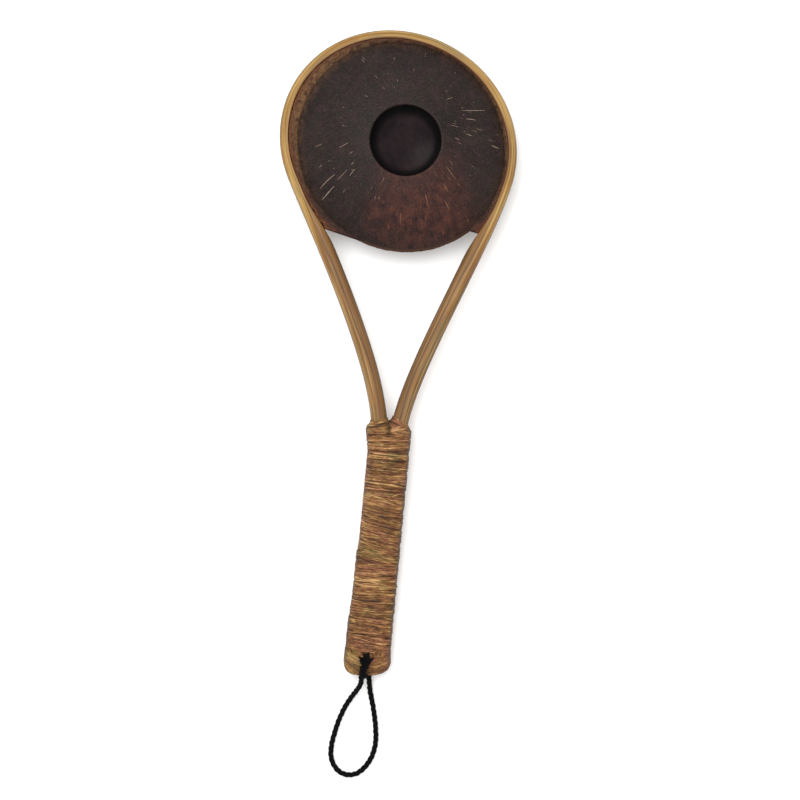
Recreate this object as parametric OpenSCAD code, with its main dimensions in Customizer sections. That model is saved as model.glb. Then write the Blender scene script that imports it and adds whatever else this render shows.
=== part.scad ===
// Flat hand rattle of the maraca family. Two domed halves of coconut shell are glued rim to rim inside a
// hoop of bent rattan, whose two ends run down side by side as the handle. Loose seeds rattle inside.
// Millimetres. The rattle lies on its back: +Y runs from the butt to the head, and +Z is up.
// Every piece but the cord is drawn about the shell's centre, rims in the plane z = 0, and then laid down.
// The cord and its knot are drawn where they lie, about the middle of the rattle on the table.

/* [Shell] */
// Long half-width of the shell's rim
rim_a = 54.4; // [54:0.1:55.4]
// Short half-width of the shell's rim
rim_b = 51.2; // [50:0.1:51.4]
// Direction of the rim's long half-width, in degrees from +X
rim_turn = -38; // [-45:1:-30]
// Height of each domed half
dome_h = 20; // [18:0.5:24]
// Thickness of the coconut shell
shell_t = 3.5; // [3:0.1:4]
// Thickness of the glue between the two rims
seam_t = 0.5; // [0.3:0.1:0.8]

/* [Recess] */
// Diameter of the round opening in the front half
recess_d = 35; // [30:0.5:36]
// Sideways place of the opening's centre
recess_x = 2.3; // [0:0.1:3]
// Lengthways place of the opening's centre
recess_y = 0.6; // [0:0.1:2]
// Depth of the cup's floor below the top of the dome
recess_depth = 11; // [9:0.5:12]
// Wall of the cup glued behind the opening
cup_t = 2.2; // [1.8:0.1:2.6]

/* [Rattan cane] */
// Diameter of the cane where it is round
cane_d = 8.2; // [7.6:0.1:8.4]
// Long half-width of the hoop, to the cane's axis
hoop_a = 56.5; // [56.4:0.1:57.5]
// Short half-width of the hoop, to the cane's axis
hoop_b = 51.6; // [51.5:0.1:52.5]
// Direction of the hoop's long half-width, in degrees from +X
hoop_turn = -28; // [-32:1:-24]
// Sideways place of the hoop's centre
hoop_x = -1.3; // [-2:0.1:-1]
// Lengthways place of the hoop's centre
hoop_y = 0.9; // [0.5:0.1:1.2]
// How far past its axis the cane keeps its inner side round the hoop
hoop_cut = 0.3; // [0:0.1:1]

/* [Handle] */
// Lengthways place where the two legs come together
handle_top = -146; // [-150:1:-145]
// Lengthways place of the cane's two ends
handle_end = -262.5; // [-270:0.5:-255]
// Sideways place of the handle's axis at its top
handle_x0 = 3; // [2:0.1:4]
// Lean of the handle's axis, in degrees from +Y
handle_lean = 1.75; // [0:0.25:3]
// Distance between the two canes' axes in the handle
cane_gap = 9.2; // [8.8:0.1:10]
// Thickness of the hidden first layer of raffia
under_t = 1; // [0.8:0.1:1.4]
// Thickness of the outer winding of raffia
grip_t = 1.45; // [1.2:0.05:1.8]
// Length of one band of the outer winding
band_l = 9.2; // [7:0.1:12]

/* [Seeds] */
// Diameter of a seed
seed_d = 6.2; // [5.5:0.1:6.4]
// Number of seeds in the outer ring
ring_count = 9; // [6:1:10]
// Distance of the outer ring from the shell's axis
ring_r = 11.4; // [11:0.1:13]
// Distance of the three inner seeds from the shell's axis
inner_r = 4; // [3.9:0.1:4.4]

/* [Cord] */
// Diameter of the twisted cord
cord_d = 2.7; // [2.4:0.1:3]

/* [Hidden] */
$fn = 48;
ring_sides = 48;
cane_sides = 16;
cord_sides = 8;
gap = 0.05;
cane_r = cane_d / 2;

// The two domes, outside and inside. A dome is a sphere's cap, stretched onto its oval rim.
wall_at_rim = 5;
rim_m = (rim_a + rim_b) / 2;
hollow_a = rim_a - wall_at_rim;
hollow_b = rim_b - wall_at_rim;
hollow_m = (hollow_a + hollow_b) / 2;
hollow_h = dome_h - shell_t;
dome_r = cap_r(rim_m, dome_h);
hollow_r = cap_r(hollow_m, hollow_h);
recess_r = recess_d / 2;

// The legs: where each leaves the hoop, in degrees round it, and how stiffly it leaves and arrives.
leave_left = 231;
leave_right = 12.5;
stiff_left = [34, 32];
stiff_right = [36, 31];
round_from = 0.1;
round_to = 0.32;

// The glue bead that fills the groove between the hoop and the dome. It ends as a web between leg and shell:
// how far along the leg, and how far round the shell, in degrees, the web's end leans towards the butt.
bead_rise = 3;
bead_foot = 2.2;
web_left = 0.238;
web_right = 0.22;
web_lean_left = 24;
web_lean_right = -3;
web_steps = 5;

// The handle's sections and the bound end.
under_r = cane_r + gap + under_t;
grip_r = under_r + gap + grip_t;
grip_top = handle_top + 1;
butt_t = 3.4;
butt_y = handle_end - gap - butt_t;
collar_at = 0.984;
collar_reach = 0.08;
collar_l = 8.6;
collar_t = 1.7;
collar_bore = cane_r + 0.45;

// The lie on the table: the back dome and the butt's rounded underside both touch it.
tilt = atan((dome_h + seam_t / 2 - grip_r) / -handle_end);
hoop_top = hoop_y + norm([(hoop_a + cane_r) * sin(hoop_turn), (hoop_b + cane_r) * cos(hoop_turn)]);
middle_y = (hoop_top + butt_y) / 2;
rest_z = dome_r + seam_t / 2 - (dome_r - dome_h) * cos(tilt);

// Route of the cord loop: from the butt's front edge down to the table, round, and up to the butt's end.
cord_points = [
    [-1.3, -164, 11.4], [-2.3, -166.6, 8.4], [-3.9, -169.4, 5.2], [-5.9, -172.6, 2.8], [-8, -176.4, 1.6],
    [-9.9, -180.6, 1.4], [-11.5, -185.2, 1.4], [-12.8, -190.2, 1.4], [-13.9, -195.6, 1.4],
    [-14.2, -201, 1.4], [-12.9, -205.8, 1.4], [-9.8, -209.6, 1.4], [-5.4, -211.2, 1.4],
    [-1, -210.4, 1.4], [2.8, -207.4, 1.4], [5.7, -203, 1.4], [7.4, -198, 1.4], [7.9, -192.6, 1.4],
    [7.4, -187, 1.4], [6.5, -181.4, 1.4], [5.3, -176, 1.4], [4.1, -171.4, 1.6], [3.2, -167.4, 2.6],
    [2.8, -164.4, 4.2]
];
// The knot on the front of the butt, and the strand that runs from it over the butt's edge.
knot_at = [-0.9, -155, 15.6];
knot_r = 2.9;
strand_end = [-1.3, -161.6, 14.4];

seed_names = [for (i = [1 : ring_count + 3]) str("seed_", i < 10 ? "0" : "", i)];

// ---- Rules for the curves ----

function turned(p, a) = [p.x * cos(a) - p.y * sin(a), p.x * sin(a) + p.y * cos(a)];

function unit(v) = v / norm(v);

function bezier(p, t) =
    pow(1 - t, 3) * p[0] + 3 * t * pow(1 - t, 2) * p[1] + 3 * t * t * (1 - t) * p[2] + t * t * t * p[3];

function ramp(t) = let (s = min(1, max(0, t))) s * s * (3 - 2 * s);

// Radius of a sphere whose cap has half-width m and height h.
function cap_r(m, h) = (m * m + h * h) / (2 * h);

// Point of an oval, t degrees round it.
function on_oval(a, b, turn, t) = turned([a * cos(t), b * sin(t)], turn);

// How far out p lies, as a share of the oval's own half-width in that direction.
function share_out(p, a, b, turn) = let (q = turned(p, -turn)) norm([q.x / a, q.y / b]);

function cap_z(share, m, h) = sqrt(pow(cap_r(m, h), 2) - pow(share * m, 2)) - cap_r(m, h) + h;

function outside_z(p) = cap_z(share_out(p, rim_a, rim_b, rim_turn), rim_m, dome_h);

// Distance from the shell's rim out to p.
function off_rim(p) = norm(p) * (1 - 1 / share_out(p, rim_a, rim_b, rim_turn));

// ---- Rules for the cane ----

function handle_x(y) = handle_x0 + (y - handle_top) * tan(handle_lean);

// Point of one cane's axis, side by side with the other's, square to the handle's own axis.
function handle_point(side, y) =
    [handle_x(y), y] + side * cane_gap / 2 * [cos(handle_lean), -sin(handle_lean)];

function hoop_point(t) = [hoop_x, hoop_y] + on_oval(hoop_a, hoop_b, hoop_turn, t);

// Direction along the hoop, clockwise seen from above.
function hoop_way(t) = unit(turned([hoop_a * sin(t), -hoop_b * cos(t)], hoop_turn));

function leg_curve(side) =
    let (leave = side < 0 ? leave_left : leave_right)
    let (stiff = side < 0 ? stiff_left : stiff_right)
    let (top = hoop_point(leave))
    let (bottom = handle_point(side, handle_top))
    let (upwards = [sin(handle_lean), cos(handle_lean)])
    [top, top + side * stiff[0] * hoop_way(leave), bottom + stiff[1] * upwards, bottom];

function leg_point(side, t) = bezier(leg_curve(side), t);

// A station is a point of the cane's axis and how far the cane reaches inwards from it.
function hoop_station(t) =
    let (p = hoop_point(t))
    [p, min(hoop_cut, off_rim(p) - 0.2)];

function leg_station(side, t) =
    let (p = leg_point(side, t))
    let (whole = ramp((t - round_from) / (round_to - round_from)))
    [p, min(hoop_cut + (cane_r - hoop_cut) * whole, off_rim(p) - 0.2)];

function handle_station(side, y) = [handle_point(side, y), cane_r];

hoop_stations = [for (i = [0 : 43]) hoop_station(leave_left + (leave_right - leave_left) * i / 43)];

cane_stations = concat(
    [for (i = [0 : 2]) handle_station(-1, handle_end + (handle_top - handle_end) * i / 3)],
    [for (i = [20 : -1 : 1]) leg_station(-1, i / 20)],
    hoop_stations,
    [for (i = [1 : 20]) leg_station(1, i / 20)],
    [for (i = [2 : -1 : 0]) handle_station(1, handle_end + (handle_top - handle_end) * i / 3)]
);

bead_stations = concat(
    [leg_station(-1, web_left)],
    [for (i = [web_steps : -1 : 1]) leg_station(-1, i / 24)],
    hoop_stations,
    [for (i = [1 : web_steps - 1]) leg_station(1, i / 20)],
    [leg_station(1, web_right)]
);

// Direction of a run of points at point i.
function way(points, i) = unit(points[min(i + 1, len(points) - 1)] - points[max(i - 1, 0)]);

function cane_ring(stations, i) =
    let (axis = [for (s = stations) s[0]])
    let (w = way(axis, i))
    let (out = [-w.y, w.x])
    [for (k = [0 : cane_sides - 1])
        let (a = 360 * (k + 0.5) / cane_sides)
        let (p = axis[i] + out * max(cane_r * cos(a), -stations[i][1]))
        [p.x, p.y, cane_r * sin(a)]];

// ---- Meshes through rings of points ----

function ring_faces(rings, sides, closed) = [
    for (i = [0 : rings - (closed ? 1 : 2)])
        for (k = [0 : sides - 1])
            let (next = (i + 1) % rings)
            let (side = (k + 1) % sides)
            for (f = [[i * sides + k, i * sides + side, next * sides + side],
                      [i * sides + k, next * sides + side, next * sides + k]]) f
];

// A tube through the rings, capped at its two ends unless the last ring joins the first.
module through_rings(rings, closed = false) {
    sides = len(rings[0]);
    count = len(rings);
    caps = closed ? [] : [
        [for (k = [sides - 1 : -1 : 0]) k],
        [for (k = [0 : sides - 1]) (count - 1) * sides + k]
    ];
    polyhedron(
        points = [for (ring = rings) for (p = ring) p],
        faces = concat(ring_faces(count, sides, closed), caps),
        convexity = 8
    );
}

module laid_down() {
    translate([0, -middle_y * cos(tilt), rest_z])
        rotate([tilt, 0, 0])
            translate([-hoop_x, 0, 0]) children();
}

// ---- Pieces of the head ----

module rattan_hoop() {
    color("burlywood") laid_down()
        through_rings([for (i = [0 : len(cane_stations) - 1]) cane_ring(cane_stations, i)]);
}

// Ring of a dome, from the opening (t = 0) to the rim (t = 1).
function open_ring(t, a, b, m, h) = [
    for (k = [0 : ring_sides - 1])
        let (angle = 360 * k / ring_sides)
        let (hole = [recess_x, recess_y] + on_oval(recess_r, recess_r, rim_turn, angle))
        let (p = hole + (on_oval(a, b, rim_turn, angle) - hole) * t)
        [p.x, p.y, seam_t / 2 + cap_z(share_out(p, a, b, rim_turn), m, h)]
];

// Ring of a dome without an opening, at the given share of its half-width.
function whole_ring(share, a, b, m, h) = [
    for (k = [0 : ring_sides - 1])
        let (p = share * on_oval(a, b, rim_turn, 360 * k / ring_sides))
        [p.x, p.y, seam_t / 2 + cap_z(share, m, h)]
];

module front_shell() {
    color("#3a2a28") laid_down()
        through_rings(concat(
            [for (i = [0 : 8]) open_ring(i / 8, rim_a, rim_b, rim_m, dome_h)],
            [for (i = [8 : -1 : 0]) open_ring(i / 8, hollow_a, hollow_b, hollow_m, hollow_h)]
        ), closed = true);
}

module back_shell() {
    shares = [0.04, 0.16, 0.3, 0.44, 0.58, 0.7, 0.8, 0.9, 1];
    color("#3a2a28") laid_down() mirror([0, 0, 1])
        through_rings(concat(
            [for (s = shares) whole_ring(s, rim_a, rim_b, rim_m, dome_h)],
            [for (i = [8 : -1 : 0]) whole_ring(shares[i], hollow_a, hollow_b, hollow_m, hollow_h)]
        ));
}

// The cup stands square to the inside of the dome behind the opening.
module recess_cup() {
    cup_edge = 18;
    flange_r = 21.5;
    flange_t = 2;
    glue_t = 0.35;
    steepness = 5;
    centre_z = seam_t / 2 + hollow_h - hollow_r;
    floor_z = dome_h + seam_t / 2 - recess_depth - centre_z;
    function seat_z(r) = sqrt(pow(hollow_r - glue_t, 2) - r * r);
    function bowl_z(r, edge) = floor_z + (seat_z(cup_edge) - floor_z) * pow(r / edge, steepness);
    color("#2c2022") laid_down()
        translate([0, 0, centre_z])
            rotate([-asin(recess_y / hollow_r), asin(recess_x / hollow_r), 0])
                rotate_extrude() polygon(concat(
                    [for (i = [0 : 12]) [cup_edge * i / 12, bowl_z(cup_edge * i / 12, cup_edge)]],
                    [for (i = [1 : 3]) let (r = cup_edge + (flange_r - cup_edge) * i / 3) [r, seat_z(r)]],
                    [[flange_r, seat_z(flange_r) - flange_t]],
                    [for (i = [11 : -1 : 0])
                        [flange_r * i / 12, bowl_z(flange_r * i / 12, flange_r + 0.6) - cup_t]]
                ));
}

module shell_seam_glue() {
    squeeze = 0.15;
    step = 3.75;
    color("#7a5a40") laid_down()
        translate([0, 0, gap - seam_t / 2]) linear_extrude(seam_t - 2 * gap) difference() {
            polygon([for (t = [0 : step : 359]) on_oval(rim_a + squeeze, rim_b + squeeze, rim_turn, t)]);
            polygon([for (t = [0 : step : 359]) on_oval(hollow_a, hollow_b, rim_turn, t)]);
        }
}

function bead_fade(i) = pow(max(1 - i / (web_steps + 1), 0), 2);

// Section of the bead at one station: on the cane's flat, and on the dome. It fades out along each leg.
function bead_ring(i) =
    let (station = bead_stations[i])
    let (w = way([for (s = bead_stations) s[0]], i))
    let (last = len(bead_stations) - 1)
    let (whole = 0.4 + 0.6 * ramp(min(i, last - i) / (web_steps + 1)))
    let (at_cane = station[0] - [-w.y, w.x] * (station[1] + gap))
    let (lean = web_lean_left * bead_fade(i) + web_lean_right * bead_fade(last - i))
    let (outwards = turned(unit(at_cane), lean))
    let (rim = 1 / share_out(outwards, rim_a, rim_b, rim_turn))
    let (edge = outwards * (rim - 0.35))
    let (foot = outwards * (rim - 0.35 - bead_foot * whole))
    let (low = seam_t / 2 + gap)
    [
        [at_cane.x, at_cane.y, low],
        [at_cane.x, at_cane.y, low + bead_rise * whole],
        [foot.x, foot.y, low + outside_z(foot)],
        [edge.x, edge.y, low + outside_z(edge)]
    ];

module glue_bead() {
    through_rings([for (i = [0 : len(bead_stations) - 1]) bead_ring(i)]);
}

module front_glue_fillet() {
    color("#6e4f38") laid_down() glue_bead();
}

module back_glue_fillet() {
    color("#6e4f38") laid_down() mirror([0, 0, 1]) glue_bead();
}

// ---- Pieces of the handle ----

// Draws along the handle: origin on its axis at height y of the head's frame, -Z pointing to the butt.
module along_handle(y) {
    laid_down() translate([handle_x(y), y, 0]) rotate([-90, 0, -handle_lean]) children();
}

module stadium(r) {
    for (side = [-1, 1]) {
        translate([side * cane_gap / 2, 0]) circle(r);
    }
    square([cane_gap, 2 * r], center = true);
}

module sleeve(outer, inner, length) {
    linear_extrude(length) difference() {
        stadium(outer);
        stadium(inner);
    }
}

module under_binding() {
    length = grip_top - handle_end - 1;
    color("#8a6a42") along_handle(handle_end + 0.5) sleeve(under_r, cane_r + gap, length);
}

// The outer winding swells a little at each band.
module grip_binding() {
    length = grip_top - handle_end;
    bands = round(length / band_l);
    pitch = length / bands;
    groove = 0.2;
    groove_l = 1.2;
    color("#a97c4e") along_handle(handle_end) {
        sleeve(grip_r - groove, under_r + gap, length);
        for (i = [0 : bands - 1]) {
            translate([0, 0, i * pitch + groove_l / 2])
                sleeve(grip_r, grip_r - 2 * groove, pitch - groove_l);
        }
    }
}

// The winding that runs round one leg at the fork, kept to its own side of the handle's axis.
module fork_binding(side) {
    foot = leg_point(side, collar_at);
    run = leg_point(side, collar_at - collar_reach) - foot;
    outer_r = cane_r + collar_t;
    half = 20;
    difference() {
        laid_down() translate([foot.x, foot.y, 0]) rotate([-90, 0, atan2(run.y, run.x) - 90])
            rotate_extrude() polygon([
                [collar_bore, 0],
                [outer_r - 0.5, 0],
                [outer_r, 1],
                [outer_r, collar_l - 4],
                [outer_r - 0.8, collar_l - 1.4],
                [collar_bore, collar_l]
            ]);
        laid_down() translate([handle_x(handle_top), handle_top, 0]) rotate([0, 0, -handle_lean])
            translate([side < 0 ? half - 2 * gap : 2 * gap - half, 0, 0]) cube(2 * half, center = true);
    }
}

module left_fork_binding() {
    color("#a97c4e") fork_binding(-1);
}

module right_fork_binding() {
    color("#a97c4e") fork_binding(1);
}

// Raffia laid over the cane's two ends, in two rounded lobes.
module butt_binding() {
    lobe_r = under_r + 0.9;
    bridge_h = 2 * lobe_r - 0.8;
    color("#a97c4e") along_handle(handle_end - gap) rotate([180, 0, 0]) union() {
        for (side = [-1, 1]) {
            translate([side * cane_gap / 2, 0, 0]) rotate_extrude() polygon([
                [0, 0],
                [lobe_r, 0],
                [lobe_r - 0.2, 1.4],
                [lobe_r - 1.2, 2.6],
                [lobe_r - 3, butt_t],
                [0, butt_t]
            ]);
        }
        translate([-cane_gap / 2, -bridge_h / 2, 0]) cube([cane_gap, bridge_h, butt_t - 1]);
    }
}

// ---- Cord ----

function cord_ring(i) =
    let (w = way(cord_points, i))
    let (across = unit(cross(w, [0.3, 0, 1])))
    let (over = cross(across, w))
    [for (k = [0 : cord_sides - 1])
        let (a = 360 * k / cord_sides)
        cord_points[i] + cord_d / 2 * (cos(a) * across + sin(a) * over)];

module cord_loop() {
    color("#161416") through_rings([for (i = [0 : len(cord_points) - 1]) cord_ring(i)]);
}

// The clump where the cord's two ends are tied together, flat against the raffia, with one strand.
module cord_knot() {
    run = strand_end - knot_at;
    color("#161416") {
        difference() {
            translate(knot_at) sphere(knot_r);
            translate(knot_at + [-5, -5, -knot_r - 5]) rotate([tilt, 0, 0]) cube([10, 10, 6]);
        }
        translate(knot_at) rotate([0, 0, atan2(run.y, run.x)]) rotate([0, acos(run.z / norm(run)), 0])
            cylinder(d = cord_d, h = norm(run));
    }
}

// ---- Seeds ----

// Centre height of the circle that a seed rolls on, and that circle's radius, for a direction out.
function roll_r(angle) =
    let (reach = 1 / share_out([cos(angle), sin(angle)], hollow_a, hollow_b, rim_turn))
    cap_r(reach, hollow_h);

module seed(i) {
    outer = i < ring_count;
    angle = outer ? 360 * i / ring_count : 120 * (i - ring_count) + 20;
    circle_r = roll_r(angle);
    lean = asin((outer ? ring_r : inner_r) / circle_r);
    travel_r = circle_r - seed_d / 2 - 0.5;
    laid_down() translate([0, 0, circle_r - hollow_h - seam_t / 2])
        rotate([0, lean, angle + 180]) translate([0, 0, -travel_r])
            color("#9c7a4a") sphere(d = seed_d);
}

rattan_hoop();
front_shell();
back_shell();
recess_cup();
shell_seam_glue();
front_glue_fillet();
back_glue_fillet();
under_binding();
grip_binding();
left_fork_binding();
right_fork_binding();
butt_binding();
cord_loop();
cord_knot();
for (i = [0 : ring_count + 2]) {
    seed(i);
}
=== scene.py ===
"""A flat hand rattle: two coconut shell halves in a hoop of rattan, a raffia handle and a cord loop.

Lengths are in millimetres up to the moment a mesh is made. Most shapes are worked out in the head's
frame: its origin is the shell's centre, +Y runs from the butt to the head, and +Z is the front.
laid_down() then puts them into the row frame, where the rattle lies on its back on the floor.
"""

import math

import bpy
import numpy as np
from mathutils import Matrix, Vector


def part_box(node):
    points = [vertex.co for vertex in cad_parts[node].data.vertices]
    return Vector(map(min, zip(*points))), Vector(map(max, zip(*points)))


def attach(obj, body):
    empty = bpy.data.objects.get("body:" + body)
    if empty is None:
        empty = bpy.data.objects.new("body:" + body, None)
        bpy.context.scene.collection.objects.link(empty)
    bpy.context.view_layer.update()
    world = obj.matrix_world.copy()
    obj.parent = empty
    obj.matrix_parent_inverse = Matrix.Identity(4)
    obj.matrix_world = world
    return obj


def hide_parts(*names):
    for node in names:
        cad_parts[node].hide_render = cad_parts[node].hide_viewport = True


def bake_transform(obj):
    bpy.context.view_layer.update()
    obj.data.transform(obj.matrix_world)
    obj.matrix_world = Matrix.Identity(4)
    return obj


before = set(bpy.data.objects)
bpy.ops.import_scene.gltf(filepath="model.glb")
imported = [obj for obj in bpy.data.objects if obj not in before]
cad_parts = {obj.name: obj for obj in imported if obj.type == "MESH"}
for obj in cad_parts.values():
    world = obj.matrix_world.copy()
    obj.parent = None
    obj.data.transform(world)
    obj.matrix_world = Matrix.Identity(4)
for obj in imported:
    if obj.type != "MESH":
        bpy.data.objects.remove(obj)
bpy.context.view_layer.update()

# ---- Driving dimensions, as the CAD source has them ----

MM = 0.001

# Ovals as (long half-width, short half-width, turn of the long one in degrees from +X).
RIM = (54.4, 51.2, -38.0)
WALL_AT_RIM = 5.0
DOME_H = 20.0
SHELL_T = 3.5
SEAM_T = 0.5
RECESS_R = 17.5
RECESS_AT = np.array([2.3, 0.6])
RECESS_DEPTH = 11.0
CUP_T = 2.2

CANE_R = 4.1
HOOP = (56.5, 51.6, -28.0)
HOOP_AT = np.array([-1.3, 0.9])
HOOP_CUT = 0.3
CUT_GAP = 0.2

# Values for the left leg are under -1, and those for the right one under 1.
LEAVE = {-1: 231.0, 1: 12.5}
STIFF = {-1: (34.0, 32.0), 1: (36.0, 31.0)}
WEB_END = {-1: 0.238, 1: 0.22}
WEB_LEAN = {-1: 24.0, 1: -3.0}
WEB_BOW = {-1: 0.8, 1: -0.7}
BEAD_RISE = 3.0
BEAD_FOOT = 2.2

HANDLE_TOP = -146.0
HANDLE_END = -262.5
HANDLE_X0 = 3.0
HANDLE_LEAN = math.radians(1.75)
CANE_GAP = 9.2
UNDER_R = 5.15
GRIP_R = 6.65
BUTT_T = 3.45

SEED_R = 3.1
CORD_D = 2.75

# Route of the cord loop in the row frame, as the CAD source has it.
CORD_ROUTE = [
    (-1.3, -164, 11.4), (-2.3, -166.6, 8.4), (-3.9, -169.4, 5.2), (-5.9, -172.6, 2.8), (-8, -176.4, 1.6),
    (-9.9, -180.6, 1.4), (-11.5, -185.2, 1.4), (-12.8, -190.2, 1.4), (-13.9, -195.6, 1.4),
    (-14.2, -201, 1.4), (-12.9, -205.8, 1.4), (-9.8, -209.6, 1.4), (-5.4, -211.2, 1.4),
    (-1, -210.4, 1.4), (2.8, -207.4, 1.4), (5.7, -203, 1.4), (7.4, -198, 1.4), (7.9, -192.6, 1.4),
    (7.4, -187, 1.4), (6.5, -181.4, 1.4), (5.3, -176, 1.4), (4.1, -171.4, 1.6), (3.2, -167.4, 2.6),
    (2.8, -164.4, 4.2),
]
KNOT_AT = np.array([-0.9, -155.0, 15.6])
STRAND_END = np.array([-1.3, -161.6, 14.4])

# The camera's view: square to the front of the head, turned a little, and this wide in the head's plane.
VIEW_AT = (7.73, -126.5)
VIEW_TURN = 3.7
VIEW_WIDTH = 400.0
VIEW_DISTANCE = 850.0

# Lights as (name, place, size, power), in metres and watts.
LIGHTS = [("key", (-0.4, 0.4, 1.5), 1.3, 15.0), ("overhead", (0.0, -0.1, 1.9), 2.0, 18.0)]
SURROUND = (1.0, 0.99, 0.97, 1.0)
SURROUND_STRENGTH = 0.8

# How bright this scene's light shows a white surface.
BRIGHTNESS = 1.5

# ---- Rules for the curves, the same as in the CAD source ----

HOLLOW = (RIM[0] - WALL_AT_RIM, RIM[1] - WALL_AT_RIM, RIM[2])
HOLLOW_H = DOME_H - SHELL_T


def turned(x, y, radians):
    return x * np.cos(radians) - y * np.sin(radians), x * np.sin(radians) + y * np.cos(radians)


def on_oval(oval, degrees):
    """Points of an oval, as an array of x and y."""
    a = np.radians(degrees)
    return np.stack(turned(oval[0] * np.cos(a), oval[1] * np.sin(a), math.radians(oval[2])), -1)


def share_out(p, oval):
    """How far out p lies, as a share of the oval's own half-width in that direction."""
    x, y = turned(p[..., 0], p[..., 1], -math.radians(oval[2]))
    return np.hypot(x / oval[0], y / oval[1])


def mean_width(oval):
    return (oval[0] + oval[1]) / 2


def cap_radius(m, h):
    """Radius of a sphere whose cap has half-width m and height h."""
    return (m * m + h * h) / (2 * h)


def cap_z(share, m, h):
    r = cap_radius(m, h)
    return np.sqrt(r * r - (share * m) ** 2) - r + h


def outside_z(p):
    """Height of the shell's outside over its rim."""
    return cap_z(share_out(p, RIM), mean_width(RIM), DOME_H)


def inside_z(p):
    return cap_z(share_out(p, HOLLOW), mean_width(HOLLOW), HOLLOW_H)


def off_rim(p):
    """Distance from the shell's rim out to p."""
    return np.linalg.norm(p, axis=-1) * (1 - 1 / share_out(p, RIM))


def ramp(t):
    s = np.clip(t, 0, 1)
    return s * s * (3 - 2 * s)


def xyz(x, y, z):
    """Points from their three parts, each spread over the shape of the others."""
    return np.stack(np.broadcast_arrays(x, y, z), -1)


def at_height(p, z):
    return xyz(p[..., 0], p[..., 1], z)


def handle_x(y):
    return HANDLE_X0 + (y - HANDLE_TOP) * math.tan(HANDLE_LEAN)


def on_handle(across, along, up):
    """A point beside the handle's axis. along is where the axis passes that height of the head's frame."""
    x = handle_x(along) + across * math.cos(HANDLE_LEAN)
    return xyz(x, along - across * math.sin(HANDLE_LEAN), up)


def hoop_point(degrees):
    return HOOP_AT + on_oval(HOOP, degrees)


def hoop_way(degrees):
    a = math.radians(degrees)
    way = np.array(turned(HOOP[0] * math.sin(a), -HOOP[1] * math.cos(a), math.radians(HOOP[2])))
    return way / np.linalg.norm(way)


def leg_point(side, t):
    """Axis of one leg, from the hoop (t = 0) to the handle (t = 1). side is -1 for the left one."""
    top = hoop_point(LEAVE[side])
    bottom = on_handle(side * CANE_GAP / 2, HANDLE_TOP, 0.0)[:2]
    upwards = np.array([math.sin(HANDLE_LEAN), math.cos(HANDLE_LEAN)])
    leaving = top + side * STIFF[side][0] * hoop_way(LEAVE[side])
    knots = [top, leaving, bottom + STIFF[side][1] * upwards, bottom]
    t = np.asarray(t, float)[..., None]
    weights = [(1 - t) ** 3, 3 * t * (1 - t) ** 2, 3 * t * t * (1 - t), t**3]
    return sum(w * k for w, k in zip(weights, knots))


def cane_cut(axis, t):
    """How far the cane reaches from its axis towards the shell. t is 0 on the hoop and rises down a leg."""
    return np.minimum(HOOP_CUT + (CANE_R - HOOP_CUT) * ramp((t - 0.1) / 0.22), off_rim(axis) - CUT_GAP)


GRIP_EDGE_Z = DOME_H + SEAM_T / 2 - GRIP_R
TILT = math.atan(GRIP_EDGE_Z / -HANDLE_END)
HOOP_TURN = math.radians(HOOP[2])
HOOP_OUT = (HOOP[0] + CANE_R) * math.sin(HOOP_TURN), (HOOP[1] + CANE_R) * math.cos(HOOP_TURN)
MIDDLE_Y = (HOOP_AT[1] + math.hypot(*HOOP_OUT) + HANDLE_END - BUTT_T) / 2
DOME_R = cap_radius(mean_width(RIM), DOME_H)
REST_Z = DOME_R + SEAM_T / 2 - (DOME_R - DOME_H) * math.cos(TILT)


def laid_way(x, y, z):
    """A direction of the head's frame, in the row frame."""
    return Vector((x, *turned(y, z, TILT)))


def laid_down(p):
    """Points of the head's frame, in the row frame, still in millimetres."""
    y, z = turned(p[..., 1], p[..., 2], TILT)
    return xyz(p[..., 0] - HOOP_AT[0], y - MIDDLE_Y * math.cos(TILT), z + REST_Z)


# ---- Meshes ----


def unit(v):
    return v / np.linalg.norm(v, axis=-1, keepdims=True)


def solid(rings, closed=False):
    """Points and faces of a tube through rings of points, with caps unless the last ring joins the first."""
    count, sides = rings.shape[:2]
    i = np.arange(count if closed else count - 1)[:, None]
    k = np.arange(sides)[None, :]
    near, far = i * sides, (i + 1) % count * sides
    side = (k + 1) % sides
    faces = [np.stack([near + k, near + side, far + side, far + k], -1).reshape(-1, 4)]
    if not closed:
        faces.append(np.arange(sides)[None, ::-1])
        faces.append((count - 1) * sides + np.arange(sides)[None, :])
    return rings.reshape(-1, 3), faces


def many_solids(rings, closed):
    """The same for several equal tubes at once: rings is (tubes, rings, sides, 3)."""
    tubes, count, sides = rings.shape[:3]
    _, faces = solid(rings[0], closed)
    starts = np.arange(tubes)[:, None, None] * count * sides
    return rings.reshape(-1, 3), [(f[None] + starts).reshape(-1, f.shape[1]) for f in faces]


def signed_volume(points, faces):
    a = points[faces[:, 0]]
    corners = range(1, faces.shape[1] - 1)
    return sum((a * np.cross(points[faces[:, k]], points[faces[:, k + 1]])).sum() for k in corners)


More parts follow.
